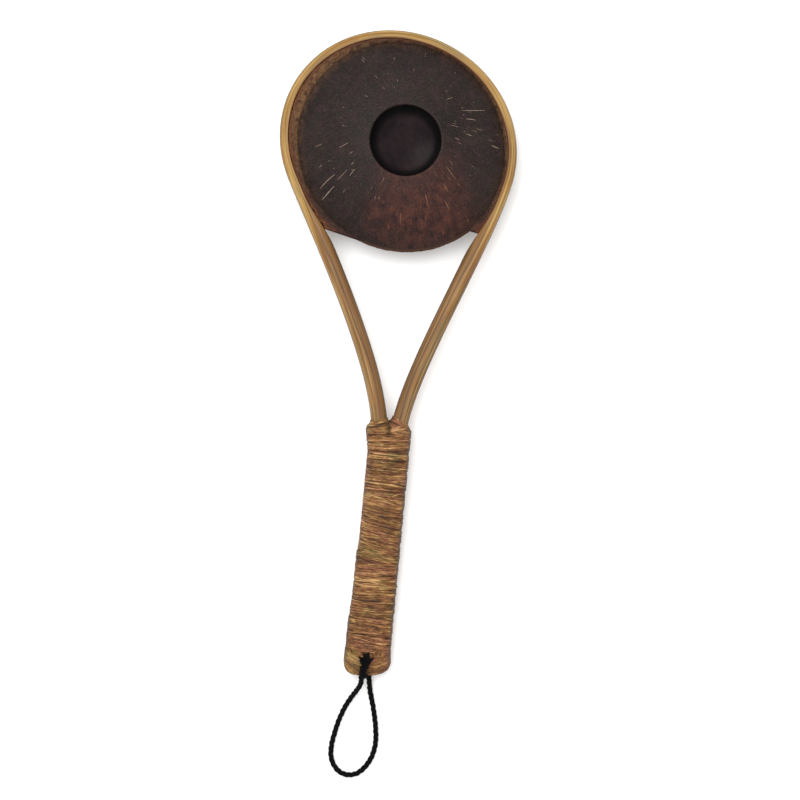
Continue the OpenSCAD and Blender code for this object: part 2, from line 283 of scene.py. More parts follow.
def add_piece(name, shape, finish, body="rattle", replaces=(), in_head=True, **attributes):
    """Makes a piece from points in millimetres, in the head's or the row frame, and lets it ride on a body.

    The materials read the attributes: one value for the whole piece, or a value or vector for each point.
    """
    points, faces = shape
    material, slot = finish
    if sum(signed_volume(points, f) for f in faces) < 0:
        faces = [f[:, ::-1] for f in faces]
    placed = (laid_down(points) if in_head else points) * MM
    mesh = bpy.data.meshes.new(name)
    mesh.from_pydata(placed.tolist(), [], [corners for f in faces for corners in f.tolist()])
    mesh.shade_smooth()
    for key, values in {"place": points, **attributes}.items():
        if np.ndim(values) == 0:
            values = np.full(len(points), values)
        kind, field = ("FLOAT_VECTOR", "vector") if values.shape[-1] == 3 else ("FLOAT", "value")
        stored = mesh.attributes.new(key, kind, "POINT")
        stored.data.foreach_set(field, values.astype(np.float32).ravel())
    mesh.materials.append(material)
    piece = bpy.data.objects.new(name, mesh)
    bpy.context.scene.collection.objects.link(piece)
    if body:
        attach(piece, body)
    if replaces:
        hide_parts(*replaces)
    return piece


def waves(p, size, seed, parts=14):
    """Smooth noise of about -1 to 1 over points, with lumps of about the given size."""
    rng = np.random.default_rng(seed)
    total = np.zeros(p.shape[:-1])
    for _ in range(parts):
        way = unit(rng.normal(size=p.shape[-1])) * 2 * math.pi / (size * rng.uniform(1.2, 3.0))
        total += np.sin(p @ way + rng.uniform(0, 2 * math.pi))
    return total / math.sqrt(parts)


def around(sides):
    """Angles of equal steps round a circle."""
    return np.arange(sides) * 2 * math.pi / sides


def bump(x, width):
    """1 where x is 0, and less away from there."""
    return np.exp(-((x / width) ** 2))


def bump_at(heading, middle, width):
    """The same round a circle, in degrees."""
    return bump((heading - middle + 180) % 360 - 180, width)


def pointed(s, blunt=0.06):
    """The width of a lens along it, from s = 0 to s = 1, where blunt is how much of each tip is cut off."""
    return np.sin(math.pi * (blunt + (1 - 2 * blunt) * s))


# ---- Materials ----


def seen(red, green, blue):
    """The shader's colour for what should show as this colour (0 to 255) under the scene's light."""
    shares = [c / 255 for c in (red, green, blue)]
    linear = [c / 12.92 if c <= 10 / 255 else ((c + 0.055) / 1.055) ** 2.4 for c in shares]
    return (*[c / BRIGHTNESS for c in linear], 1.0)


class Look:
    """A material under construction. colour is its colour so far, and tint() and cover() paint over that."""

    def __init__(self, name):
        self.material = bpy.data.materials.new(name)
        self.material.use_nodes = True
        self.tree = self.material.node_tree
        self.colour = None

    def set(self, socket, value):
        if isinstance(value, bpy.types.NodeSocket):
            self.tree.links.new(value, socket)
        else:
            socket.default_value = value

    def node(self, kind, inputs, **settings):
        node = self.tree.nodes.new("ShaderNode" + kind)
        for key, value in settings.items():
            setattr(node, key, value)
        for key, value in inputs.items():
            self.set(node.inputs[key], value)
        return node

    def read(self, name, output="Fac"):
        """A value that the mesh stores at each point."""
        return self.node("Attribute", {}, attribute_name=name).outputs[output]

    def noise(self, vector, scale, detail, roughness, drawn=(1, 1, 1)):
        """Noise over the vector, whose three parts are multiplied by drawn first."""
        if drawn != (1, 1, 1):
            vector = self.node("VectorMath", {0: vector, 1: drawn}, operation="MULTIPLY").outputs[0]
        inputs = {"Vector": vector, "Scale": scale, "Detail": detail, "Roughness": roughness}
        return self.node("TexNoise", inputs).outputs[0]

    def times(self, a, b):
        return self.node("Math", {0: a, 1: b}, operation="MULTIPLY").outputs[0]

    def plus(self, a, b):
        return self.node("Math", {0: a, 1: b}, operation="ADD").outputs[0]

    def near(self, vector, place):
        return self.node("VectorMath", {0: vector, 1: place}, operation="DISTANCE").outputs["Value"]

    def between(self, value, low, high, out_low=0.0, out_high=1.0):
        inputs = {"Value": value, "From Min": low, "From Max": high, "To Min": out_low, "To Max": out_high}
        return self.node("MapRange", inputs, interpolation_type="SMOOTHSTEP").outputs[0]

    def blend(self, share, a, b):
        node = self.node("Mix", {}, data_type="RGBA")
        for place, value in ((0, share), (6, a), (7, b)):
            self.set(node.inputs[place], value)
        return node.outputs[2]

    def cover(self, share, colour):
        self.colour = self.blend(share, self.colour, colour)

    def tint(self, value, low, high, most, *rgb):
        """Paints a colour over the rest: none where value is low, and a share of most where it is high."""
        self.cover(self.between(value, low, high, 0, most), seen(*rgb))

    def stops(self, share, *stops):
        """A colour ramp. Each stop is (place, colour)."""
        node = self.node("ValToRGB", {"Fac": share})
        marks = node.color_ramp.elements
        while len(marks) < len(stops):
            marks.new(0.5)
        for mark, (place, colour) in zip(marks, stops):
            mark.position = place
            mark.color = colour
        return node.outputs["Color"]

    def colours(self, share, *stops):
        """The same, with each stop as (place, red, green, blue)."""
        return self.stops(share, *[(place, seen(*rgb)) for place, *rgb in stops])

    def finish(self, roughness, specular, *layers):
        """Sets the shader. layers are (height, depth in millimetres) of bump, one over the other."""
        shader = self.tree.nodes["Principled BSDF"]
        normal = {}
        for height, depth in layers:
            inputs = {"Height": height, "Distance": depth * MM, "Strength": 1.0, **normal}
            normal = {"Normal": self.node("Bump", inputs).outputs["Normal"]}
        for key, value in {"Base Color": self.colour, "Roughness": roughness, **normal}.items():
            self.set(shader.inputs[key], value)
        shader.inputs["Specular IOR Level"].default_value = specular
        return self.material


def cane_look():
    """Peeled rattan: long grain of honey and tan, with darker lines. lie is the cane laid out straight."""
    look = Look("rattan_cane")
    lie = look.read("lie", "Vector")
    grain = look.noise(lie, 0.85, 5, 0.6, (1, 1, 0.03))
    lines = look.noise(lie, 1.25, 3, 0.65, (1, 1, 0.012))
    pale = look.noise(lie, 1.0, 3, 0.6, (1, 1, 0.016))
    patches = look.noise(lie, 0.35, 3, 0.6, (0.5, 0.5, 0.12))
    specks = look.noise(lie, 3.2, 3, 0.7, (1, 1, 0.35))
    outer = look.node("SeparateXYZ", {0: lie}).outputs["X"]
    honey = [(0.32, 140, 100, 42), (0.45, 178, 136, 66), (0.56, 202, 162, 88), (0.68, 222, 188, 120)]
    brown = [(0.32, 90, 60, 30), (0.45, 130, 92, 50), (0.56, 156, 114, 64), (0.68, 184, 146, 94)]
    look.colour = look.colours(grain, *honey)
    look.cover(look.read("brown"), look.colours(grain, *brown))
    look.tint(lines, 0.51, 0.62, 0.8, 98, 68, 36)
    look.tint(pale, 0.53, 0.64, 0.75, 208, 172, 112)
    look.tint(patches, 0.52, 0.7, 0.5, 158, 104, 58)
    look.tint(patches, 0.48, 0.32, 0.55, 132, 118, 82)
    look.tint(specks, 0.62, 0.74, 0.45, 86, 62, 40)
    # Painted shade round the section, by outer: the outer flank stays lightest, the top and inner half are
    # painted more orange-brown and darker, and both edges darker still.
    look.tint(outer, 1.8, 0.3, 0.42, 146, 98, 50)
    look.tint(outer, 0.45, -0.2, 0.4, 112, 76, 44)
    look.tint(outer, 3.2, 4.0, 0.65, 108, 84, 54)
    look.tint(outer, -3.1, -3.9, 0.7, 84, 66, 46)
    # Painted shade in the creases along the cane.
    look.cover(look.read("crease"), seen(70, 48, 32))
    # Painted shade: darker brown on the hoop's inner side and on the shaved face, where the cane meets the
    # glue and the shell.
    look.cover(look.read("tone"), seen(84, 52, 32))
    bumps = [(grain, 0.14), (lines, 0.14), (specks, 0.03)]
    return look.finish(look.between(grain, 0.3, 0.7, 0.6, 0.45), 0.28, *bumps)


def shell_look(name, warm_at):
    """Polished coconut shell. lie is (direction from the pole, twice, and distance from it)."""
    look = Look(name)
    lie = look.read("lie", "Vector")
    place = look.read("place", "Vector")
    streaks = look.noise(lie, 2.2, 5, 0.7, (1, 1, 0.06))
    fibres = look.noise(lie, 7.0, 3, 0.6, (1, 1, 0.03))
    mottle = look.noise(lie, 1.1, 4, 0.65, (1, 1, 0.22))
    cloud = look.noise(place, 0.055, 4, 0.6)
    speckle = look.noise(place, 2.0, 3, 0.7)
    tones = look.noise(place, 0.24, 3, 0.75)
    edge = look.plus(look.times(cloud, 30.0), look.times(mottle, 12.0))
    # Redder and lighter within about 34 to 58 mm of warm_at: partly the shell's own reddish colour and partly
    # painted light on that side of the dome.
    warm = look.between(look.plus(look.near(place, warm_at), edge), 58.0, 34.0)
    look.colour = look.colours(cloud, (0.3, 34, 28, 28), (0.5, 42, 33, 32), (0.7, 52, 43, 40))
    look.tint(streaks, 0.5, 0.72, 0.55, 68, 54, 50)
    look.tint(streaks, 0.46, 0.28, 0.6, 26, 23, 24)
    look.tint(tones, 0.52, 0.62, 0.6, 60, 40, 46)
    look.tint(tones, 0.48, 0.38, 0.6, 40, 40, 34)
    reds = [(0.34, 46, 30, 32), (0.5, 70, 41, 38), (0.62, 90, 52, 43), (0.76, 112, 68, 47)]
    red = look.colours(mottle, *reds)
    red = look.blend(look.between(streaks, 0.5, 0.7, 0, 0.5), red, seen(104, 66, 48))
    look.cover(look.times(warm, 0.85), red)
    look.tint(speckle, 0.54, 0.68, 0.62, 98, 82, 74)
    look.tint(speckle, 0.45, 0.33, 0.7, 22, 18, 20)
    threads = look.times(look.between(fibres, 0.6, 0.72), warm)
    look.cover(look.times(threads, 0.7), seen(132, 78, 44))
    look.tint(fibres, 0.68, 0.78, 0.5, 126, 100, 82)
    dust = look.times(look.read("dust"), look.between(mottle, 0.36, 0.62, 0.1, 0.8))
    dust = look.times(dust, look.between(speckle, 0.34, 0.6, 0.45, 1.0))
    look.cover(dust, seen(102, 76, 56))
    worn = look.times(look.read("tone"), look.between(speckle, 0.3, 0.6, 0.5, 1.0))
    look.cover(worn, seen(98, 70, 54))
    bumps = [(mottle, 0.08), (streaks, 0.06), (fibres, 0.03), (speckle, 0.03)]
    return look.finish(look.between(streaks, 0.3, 0.7, 0.42, 0.6), 0.1, *bumps)


def recess_look():
    """The ground cup behind the opening: dark and purplish, with painted shade nearly black on its wall,
    where tone is 1.
    """
    look = Look("recess_shell")
    place = look.read("place", "Vector")
    cloud = look.noise(place, 0.1, 4, 0.6)
    grit = look.noise(place, 1.7, 3, 0.65)
    turns = look.noise(look.read("lie", "Vector"), 0.9, 3, 0.6, (0.4, 0.4, 1.6))
    look.colour = look.colours(cloud, (0.32, 25, 16, 19), (0.52, 34, 23, 26), (0.7, 47, 34, 37))
    look.tint(turns, 0.5, 0.72, 0.4, 54, 39, 42)
    look.tint(grit, 0.6, 0.74, 0.35, 84, 74, 70)
    # Painted light: a paler patch on the lower right of the cup's floor, where light falls into the recess.
    look.tint(look.near(place, (14.0, -7.0, 10.0)), 13.0, 3.0, 0.5, 60, 54, 54)
    # Painted shade: the cup's wall is painted nearly black where tone is high.
    look.cover(look.read("tone"), seen(9, 7, 8))
    bumps = [(cloud, 0.3), (turns, 0.08), (grit, 0.06)]
    return look.finish(look.between(grit, 0.3, 0.7, 0.6, 0.75), 0.08, *bumps)


def fleck_look():
    look = Look("shell_fibre")
    grain = look.noise(look.read("place", "Vector"), 1.8, 3, 0.6)
    stops = [(0.0, 140, 92, 48), (0.5, 158, 128, 110), (1.0, 186, 160, 140)]
    look.colour = look.colours(look.read("tone"), *stops)
    look.tint(grain, 0.4, 0.7, 0.6, 92, 68, 56)
    return look.finish(0.6, 0.2, (grain, 0.04))


def glue_look():
    """Glue and shell dust. tone is 0 at the cane and 1 at the inner border, and crust is the dust."""
    look = Look("shell_glue")
    place = look.read("place", "Vector")
    lumps = look.noise(place, 0.35, 4, 0.6)
    grit = look.noise(place, 1.6, 3, 0.7)
    patches = look.noise(place, 0.09, 3, 0.6)
    edge = look.plus(look.read("tone"), look.between(lumps, 0.3, 0.7, -0.12, 0.12))
    # The darkest stop, at the cane, is painted shade: a dark line where the glue meets the cane.
    stops = [(0.02, 58, 34, 20), (0.12, 130, 80, 42), (0.24, 86, 48, 34), (0.45, 62, 40, 36)]
    look.colour = look.colours(edge, *stops, (1.0, 54, 41, 38))
    look.tint(patches, 0.5, 0.66, 0.5, 92, 52, 38)
    dusty = look.times(look.read("crust"), look.between(lumps, 0.34, 0.58, 0.15, 1.0))
    dusty = look.times(dusty, look.between(edge, 0.12, 0.5))
    look.cover(dusty, seen(136, 100, 66))
    look.tint(grit, 0.55, 0.75, 0.55, 42, 30, 27)
    on_dust = look.between(dusty, 0.0, 0.5, 0.2, 0.7)
    look.cover(look.times(look.between(grit, 0.45, 0.28), on_dust), seen(152, 116, 78))
    return look.finish(look.between(grit, 0.3, 0.7, 0.55, 0.75), 0.12, (lumps, 0.4), (grit, 0.2))


def raffia_look(name, shade=1.0):
    """Dry palm fibre. tone is the strand's lightness and hue runs from reddish over tan to greenish."""
    look = Look(name)
    lie = look.read("lie", "Vector")
    place = look.read("place", "Vector")
    fibre = look.noise(lie, 3.2, 4, 0.65, (1, 1, 0.05))
    glint_drift = look.noise(lie, 0.8, 3, 0.6, (0.3, 0.3, 0.22))
    patches = look.noise(place, 0.12, 3, 0.6)
    stains = look.noise(place, 0.22, 3, 0.65, (0.5, 1, 1))
    light = look.plus(look.read("tone"), look.between(fibre, 0.3, 0.7, -0.28, 0.28))
    # Lighter and darker stretches along the strands; the lighter ones are painted glints.
    light = look.plus(light, look.between(glint_drift, 0.32, 0.68, -0.3, 0.3))
    light = look.plus(light, look.between(stains, 0.3, 0.7, -0.16, 0.16))
    hue = look.plus(look.read("hue"), look.between(patches, 0.34, 0.66, -0.24, 0.24))
    # The palest stop is a painted highlight.
    tan = [(0.0, 66, 40, 20), (0.35, 114, 74, 38), (0.6, 146, 99, 55), (0.85, 184, 134, 80)]
    look.colour = look.colours(light, *tan, (1.0, 222, 178, 118))
    red = look.colours(light, (0.0, 66, 36, 24), (0.4, 126, 74, 46), (0.9, 176, 120, 84))
    green = look.colours(light, (0.0, 62, 48, 22), (0.4, 122, 94, 48), (0.9, 180, 150, 90))
    look.cover(look.between(hue, 0.42, 0.1), red)
    look.cover(look.between(hue, 0.66, 0.95), green)
    # Painted shade along the handle's sides and in the fork's crease.
    look.tint(look.read("grime"), 0, 1, 0.62, 84, 66, 48)
    # Painted shade: with shade under 1 the colour is darkened towards deep brown, for the raffia under the
    # strands.
    look.cover(1.0 - shade, seen(40, 25, 16))
    return look.finish(look.between(fibre, 0.3, 0.7, 0.68, 0.5), 0.25, (fibre, 0.1), (glint_drift, 0.1))


def cord_look():
    """Black twisted cotton, a little brown where the fibres catch the light."""
    look = Look("cord_fibre")
    lie = look.read("lie", "Vector")
    fibre = look.noise(lie, 4.2, 4, 0.7, (1, 1, 0.22))
    look.colour = look.colours(fibre, (0.3, 5, 4, 5), (0.6, 13, 10, 12), (0.8, 30, 25, 27))
    look.tint(look.noise(lie, 1.1, 3, 0.6), 0.5, 0.7, 0.4, 17, 12, 15)
    return look.finish(look.between(fibre, 0.3, 0.7, 0.9, 0.75), 0.08, (fibre, 0.16))


def seed_look():
    look = Look("seed")
    place = look.read("place", "Vector")
    cloud = look.noise(place, 0.5, 4, 0.6)
    grit = look.noise(place, 2.4, 3, 0.6)
    look.colour = look.colours(cloud, (0.3, 112, 78, 44), (0.6, 158, 120, 72), (0.8, 184, 150, 100))
    look.tint(grit, 0.58, 0.72, 0.6, 84, 54, 32)
    return look.finish(look.between(grit, 0.3, 0.7, 0.4, 0.6), 0.5, (cloud, 0.1), (grit, 0.05))


def floor_look():
    look = Look("pale_floor")
    place = look.node("TexCoord", {}).outputs["Object"]
    grain = look.noise(place, 90.0, 2, 0.5)
    look.colour = look.stops(grain, (0.3, (0.93, 0.93, 0.93, 1)), (0.7, (0.95, 0.95, 0.95, 1)))
    return look.finish(0.9, 0.1, (grain, 0.02))


# Each finish is (material, name of a slot).
RATTAN = cane_look(), "rattan"
FRONT_SHELL = shell_look("front_coconut_shell", (14.0, -32.0, 14.0)), "coconut_shell"
BACK_SHELL = shell_look("back_coconut_shell", (-16.0, 20.0, -16.0)), "coconut_shell"
RECESS = recess_look(), "recess_shell"
FLECK = fleck_look(), "coconut_shell"
GLUE = glue_look(), "shell_glue"
RAFFIA = raffia_look("raffia"), "raffia"
# The raffia under the strands, painted darker as shade.
RAFFIA_IN_SHADE = raffia_look("raffia_under_in_shade", 0.55), "raffia"
CORD = cord_look(), "cord_fibre"
SEED = seed_look(), "seed"

# ---- Camera, light and floor ----


def add_camera():
    data = bpy.data.cameras.new("view")
    data.sensor_width = 36.0
    data.lens = data.sensor_width * VIEW_DISTANCE / VIEW_WIDTH
    data.clip_start = 0.05
    camera = bpy.data.objects.new("view", data)
    bpy.context.scene.collection.objects.link(camera)
    turn = math.radians(VIEW_TURN)
    right = laid_way(math.cos(turn), math.sin(turn), 0)
    up = laid_way(-math.sin(turn), math.cos(turn), 0)
    back = laid_way(0, 0, 1)
    target = Vector(laid_down(np.array([*VIEW_AT, 0.0])))
    place = (target + back * VIEW_DISTANCE) * MM
    camera.matrix_world = Matrix.Translation(place) @ Matrix((right, up, back)).transposed().to_4x4()
    bpy.context.scene.camera = camera


def add_area_light(name, place, size, power):
    data = bpy.data.lights.new(name, "AREA")
    data.shape = "DISK"
    data.size = size
    data.energy = power
    light = bpy.data.objects.new(name, data)
    bpy.context.scene.collection.objects.link(light)
    light.location = place
    light.rotation_euler = (-Vector(place)).to_track_quat("-Z", "Y").to_euler()


def add_stage():
    """Floor, soft light from the upper left, and a pale surround."""
    bpy.ops.mesh.primitive_plane_add(size=8)
    floor = bpy.context.object
    floor.name = "floor"
    floor.data.materials.append(floor_look())
    for light in LIGHTS:
        add_area_light(*light)
    world = bpy.data.worlds.new("surround")
    world.use_nodes = True
    background = world.node_tree.nodes["Background"]
    background.inputs["Color"].default_value = SURROUND
    background.inputs["Strength"].default_value = SURROUND_STRENGTH
    bpy.context.scene.world = world
    bpy.context.scene.view_settings.view_transform = "Standard"


# ---- Cord and knot ----

# Places where the cord goes back into the butt, in the row frame.
INTO_BUTT = [(2.4, -161.4, 5.7), (2.2, -158.6, 7.0)]

# The cord's other end, from the knot over the butt's edge and in between the lobes, in the row frame.
SECOND_STRAND = [
    (0.5, -155.6, 15.5), (0.2, -158.2, 15.2), (0.1, -159.9, 14.5),
    (0.3, -160.6, 12.8), (0.8, -160.3, 10.8), (1.4, -159.0, 9.2),
]
KNOT_MIDDLE = KNOT_AT + np.array([1.2, 1.7, 0.15])
KNOT_ROPE = 1.9

# The cut ends above the knot: (root, tip, thickness there), from the knot's middle.
KNOT_ENDS = [
    ((-1.3, 0.4, 0.2), (-3.0, 2.2, -0.3), 0.9),
    ((-0.6, 1.2, 0.5), (-0.7, 4.1, -0.1), 1.7),
    ((0.8, 1.3, 0.4), (1.2, 4.4, -0.2), 1.8),
    ((1.5, 0.3, 0.2), (3.5, 2.0, -0.4), 1.0),
]


def run_along(line):
    """How far along a line each of its points is."""
    return np.concatenate([[0], np.cumsum(np.linalg.norm(np.diff(line, axis=0), axis=1))])


def smooth_line(points, spacing, closed=False):
    """A Catmull-Rom curve through the points, as points at equal distances along it."""
    p = np.array(points, float)
    ends = (p[-1], p[:2]) if closed else (2 * p[0] - p[1], 2 * p[-1] - p[-2])
    p = np.vstack([ends[0], p, ends[1]])
    t = np.linspace(0, 1, 24, endpoint=False)[:, None]
    spans = []
    for i in range(1, len(p) - 2):
        a, b, c, d = p[i - 1 : i + 3]
        bend = (2 * a - 5 * b + 4 * c - d) * t**2 + (3 * b - a - 3 * c + d) * t**3
        spans.append(0.5 * (2 * b + (c - a) * t + bend))
    line = np.vstack([*spans, p[-2]])
    run = run_along(line)
    even = np.linspace(0, run[-1], max(2, round(run[-1] / spacing) + 1))
    return np.stack([np.interp(even, run, line[:, k]) for k in range(3)], -1)


def rings_round(line, reach, a):
    """Rings round a line, at angles a carried along it without twisting, and this reach out from it."""
    ways = unit(np.gradient(line, axis=0))
    side = np.cross(ways[0], [0.0, 0.0, 1.0])
    if np.linalg.norm(side) < 0.1:
        side = np.cross(ways[0], [0.0, 1.0, 0.0])
    across = []
    for way in ways:
        side = unit(side - way * (side @ way))
        across.append(side)
    over = np.cross(ways, across)
    out = np.cos(a)[..., None] * np.array(across)[:, None] + np.sin(a)[..., None] * over[:, None]
    return line[:, None] + reach[..., None] * out


def laid_rope(line, diameter, pitch=8.4, sides=42):
    """Rings of a rope of three plies round a line, and where each point lies on the straightened rope."""
    run = run_along(line)[:, None]
    a = around(sides)[None, :]
    ply_r = diameter * 0.29
    offset = diameter / 2 - ply_r
    third = 2 * math.pi / 3
    own = a - 2 * math.pi * run / pitch
    from_ply = (own + third / 2) % third - third / 2
    reach = offset * np.cos(from_ply)
    reach = reach + np.sqrt(np.maximum(ply_r**2 - (offset * np.sin(from_ply)) ** 2, 0.0))
    reach = reach + 0.02 * diameter * waves(np.stack(np.broadcast_arrays(a, run), -1), 2.0, 5)
    return rings_round(line, reach, a), xyz(reach * np.cos(own), reach * np.sin(own), run)


def add_rope(name, rope, closed=False, **settings):
    rings, lie = rope
    return add_piece(name, solid(rings, closed), CORD, in_head=False, lie=lie, **settings)


def add_cord():
    start = [tuple(KNOT_AT + (STRAND_END - KNOT_AT) * s) for s in (0.1, 0.35, 0.65)]
    line = smooth_line(start + [tuple(STRAND_END)] + CORD_ROUTE + INTO_BUTT, 0.42)
    cord = add_rope("cord", laid_rope(line, CORD_D), body=None, replaces=["cord_loop"])
    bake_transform(cord)
    return cord, line


def knot_line():
    """A flattened overhand knot, round its own middle."""
    t = around(12)
    x = 0.92 * (np.sin(t) + 1.5 * np.sin(2 * t))
    y = 1.1 * (np.cos(t) - 1.6 * np.cos(2 * t)) - 0.3
    return xyz(x, y, -0.8 * np.sin(3 * t))


def add_knot():
    """The knot, lying on the raffia, its cut ends and the fibres that fray from them."""
    turns = KNOT_MIDDLE + smooth_line(knot_line(), 0.3, closed=True)[:-1]
    rope = laid_rope(turns, KNOT_ROPE, pitch=6.0, sides=30)
    strand = laid_rope(smooth_line(SECOND_STRAND, 0.3), 2.3, sides=30)
    pieces = [add_rope("knot", rope, closed=True, replaces=["cord_knot"]), add_rope("knot_strand", strand)]
    rng = np.random.default_rng(7)
    frays = []
    for i, (root, tip, thin) in enumerate(KNOT_ENDS, 1):
        root, tip = KNOT_MIDDLE + root, KNOT_MIDDLE + tip
        line = smooth_line([root, (root + tip) / 2 + [0, 0, 0.3], tip], 0.25)
        rings, lie = laid_rope(line, KNOT_ROPE, pitch=5.0, sides=24)
        taper = np.linspace(1.0, thin / KNOT_ROPE, len(line))[:, None, None]
        pieces.append(add_rope(f"knot_end_{i}", (line[:, None] + (rings - line[:, None]) * taper, lie)))
        frays += frayed_fibres(rng, line, 10)
    shape = many_solids(np.array(frays), closed=False)
    return [*pieces, add_piece("knot_fray", shape, CORD, in_head=False, lie=shape[0])]


def frayed_fibres(rng, line, count):
    """Thin tapering fibres that fan out from the end of a line."""
    way = unit(line[-1] - line[-4])
    s = np.linspace(0, 1, 7)[:, None]
    fibres = []
    for _ in range(count):
        root = line[-3] + rng.normal(scale=0.18, size=3)
        lean = unit(way + rng.normal(scale=0.32, size=3) * [1, 1, 0.4])
        bend = rng.normal(scale=0.25, size=3) * [1, 1, 0.3]
        path = root + lean * s * rng.uniform(0.8, 1.5) + bend * s**2
        fibres.append(rings_round(path, 0.16 * (1 - 0.75 * s), around(6)[None, :]))
    return fibres


# ---- Cane ----

# Creases along the cane: (direction on its section in radians, depth).
CREASES = [(1.72, 0.17), (1.1, 0.06), (2.3, 0.07)]
DEEPEST_CREASE = 0.17


def cane_path():
    """Axis of the whole cane and its cut, up the handle's left half, round the hoop and down the right."""
    axes, cuts = [], []
    for side, short in ((-1, 1.0), (1, 3.5)):
        y = np.linspace(HANDLE_END + short, HANDLE_TOP, 120)[:-1]
        t = np.linspace(1, 0, 160)[:-1]
        leg = leg_point(side, t)
        axes.append(np.vstack([on_handle(side * CANE_GAP / 2, y, 0.0)[:, :2], leg]))
        cuts.append(np.concatenate([np.full(len(y), CANE_R), cane_cut(leg, t)]))
    hoop = hoop_point(np.linspace(LEAVE[-1], LEAVE[1], 420))
    axis = np.vstack([axes[0], hoop, axes[1][::-1]])
    return axis, np.concatenate([cuts[0], cane_cut(hoop, 0.0), cuts[1][::-1]])


def along_and_out(axis):
    """The way along a flat path at each of its points, and the way out to the left of it."""
    way = unit(np.gradient(axis, axis=0))
    return way, np.stack([-way[:, 1], way[:, 0]], -1)


def softened(x, low, width):
    """x, held above low with a rounded corner."""
    return low + 0.5 * (x - low + np.sqrt((x - low) ** 2 + width**2))


def add_cane():
    axis, cut = cane_path()
    cut = cut[:, None]
    run = run_along(axis)[:, None]
    _, out = along_and_out(axis)
    a = around(72)[None, :]
    straight = xyz(CANE_R * np.cos(a), CANE_R * np.sin(a), run)
    drawn = straight * [1, 1, 0.06]
    radius = CANE_R * (1 + 0.006 * waves(drawn, 7.0, 3) + 0.004 * waves(drawn, 1.6, 4))
    crease = np.zeros_like(radius)
    for place, depth in CREASES:
        groove = place + 0.16 * np.sin(run / 23.0 + place * 5) + 0.08 * np.sin(run / 7.3)
        for turn in (0.0, math.pi + 0.4):
            mark = bump((a - groove - turn + math.pi) % (2 * math.pi) - math.pi, 0.08)
            radius = radius - depth * mark
            crease = np.maximum(crease, mark * depth / DEEPEST_CREASE)
    outwards = softened(radius * np.cos(a), -cut, 0.22)
    rings = at_height(axis[:, None] + out[:, None] * outwards[..., None], radius * np.sin(a))
    on_hoop = 1 - ramp((off_rim(axis) - 1.5) / 5)[:, None]
    shaved = ramp((-cut - radius * np.cos(a) + 0.6) / 1.2)
    add_piece(
        "cane", solid(rings), RATTAN, replaces=["rattan_hoop"], lie=straight,
        # tone paints shade on the hoop's inner side and on the shaved face, next to the glue.
        tone=0.85 * np.maximum(on_hoop * ramp((-np.cos(a) - 0.1) / 0.5), shaved),
        brown=0.15 + 0.75 * ramp((off_rim(axis) - 2) / 14)[:, None] + 0 * a,
        # crease paints shade in the grooves along the cane.
        crease=crease * (0.75 - 0.5 * on_hoop) * np.clip(0.7 + 0.5 * waves(drawn, 2.0, 6), 0, 1),
    )


# ---- Shell ----

FRONT_POLE = np.array([1.2, 13.4])
BACK_POLE = np.array([4.0, -7.0])
FRONT_SEED = 21
BACK_SEED = 25
SHELL_SIDES = 384
RIM_CHAMFER = (RIM[0] - 0.15, RIM[1] - 0.15, RIM[2])
# How far out the wear beside the rim is full, as a share of the way.
RIM_WEAR_TO = 0.985


def polar_lie(p, pole, fineness=9.0):
    """Where points lie on the shell's meridians: direction from the pole, and how far they are from it."""
    away = p[..., :2] - pole
    distance = np.linalg.norm(away, axis=-1)
    return at_height(fineness * away / np.maximum(distance, 0.01)[..., None], distance)


def dome_relief(p, seed):
    """How uneven a ground and polished shell is."""
    return 0.05 * waves(p, 9.0, seed) + 0.02 * waves(p, 2.5, seed + 1)


def heading(p):
    return np.degrees(np.arctan2(p[:, 1], p[:, 0]))


def rim_dust(p):
    """How much dust of glue and shell is smeared on the shell beside the bead."""
    upper_left = bump_at(heading(p), 150, 45)
    return ramp((share_out(p, RIM) - 0.88) / 0.09) * (0.35 + 0.65 * upper_left) * ramp((p[:, 1] + 44) / 10)


def uneven(p, z, seed, relief=1.0):
    """A ring of the dome at heights z, with relief as a share of its full unevenness."""
    ring = at_height(p, z)
    if relief:
        ring[:, 2] += relief * dome_relief(ring, seed)
    return ring


def shell_rings(seed, facing, middle, start, outside, last, most_worn, worn_from, inside):
    """Rings round one half of the shell and how worn it is at each, out to the rim and back along the inside.

    They lie between middle (0) and the rim (1). facing is 1 for the front half and -1 for the back one.
    start holds (place, drop, wear, relief) of the first rings.
    """
    degrees = np.degrees(around(SHELL_SIDES))
    rings, worn = [], []

    def add(t, oval, height, drop=0.0, wear=0.0, relief=0.0):
        p = middle + (on_oval(oval, degrees) - middle) * t
        rings.append(uneven(p, SEAM_T / 2 + height(p) - drop, seed, relief) * [1, 1, facing])
        worn.append(wear)

    for t, drop, wear, relief in start:
        add(t, RIM, outside_z, drop, wear, relief)
    for t in outside:
        wear = most_worn * ramp((t - worn_from) / (RIM_WEAR_TO - worn_from))
        add(t, RIM, outside_z, wear=wear, relief=1.0)
    add(last, RIM, outside_z, 0.02, 0.7)
    add(1.0, RIM, lambda p: 0.12, wear=0.8)
    add(1.0, RIM_CHAMFER, lambda p: 0.0, wear=0.6)
    for t in inside:
        add(t, HOLLOW, inside_z, wear=0.2)
    return np.array(rings), worn


def add_shell(name, node, finish, pole, closed, rings, worn):
    shape = solid(rings, closed)
    lie, dust = polar_lie(shape[0], pole), rim_dust(shape[0])
    add_piece(name, shape, finish, replaces=[node], lie=lie, tone=np.repeat(worn, SHELL_SIDES), dust=dust)


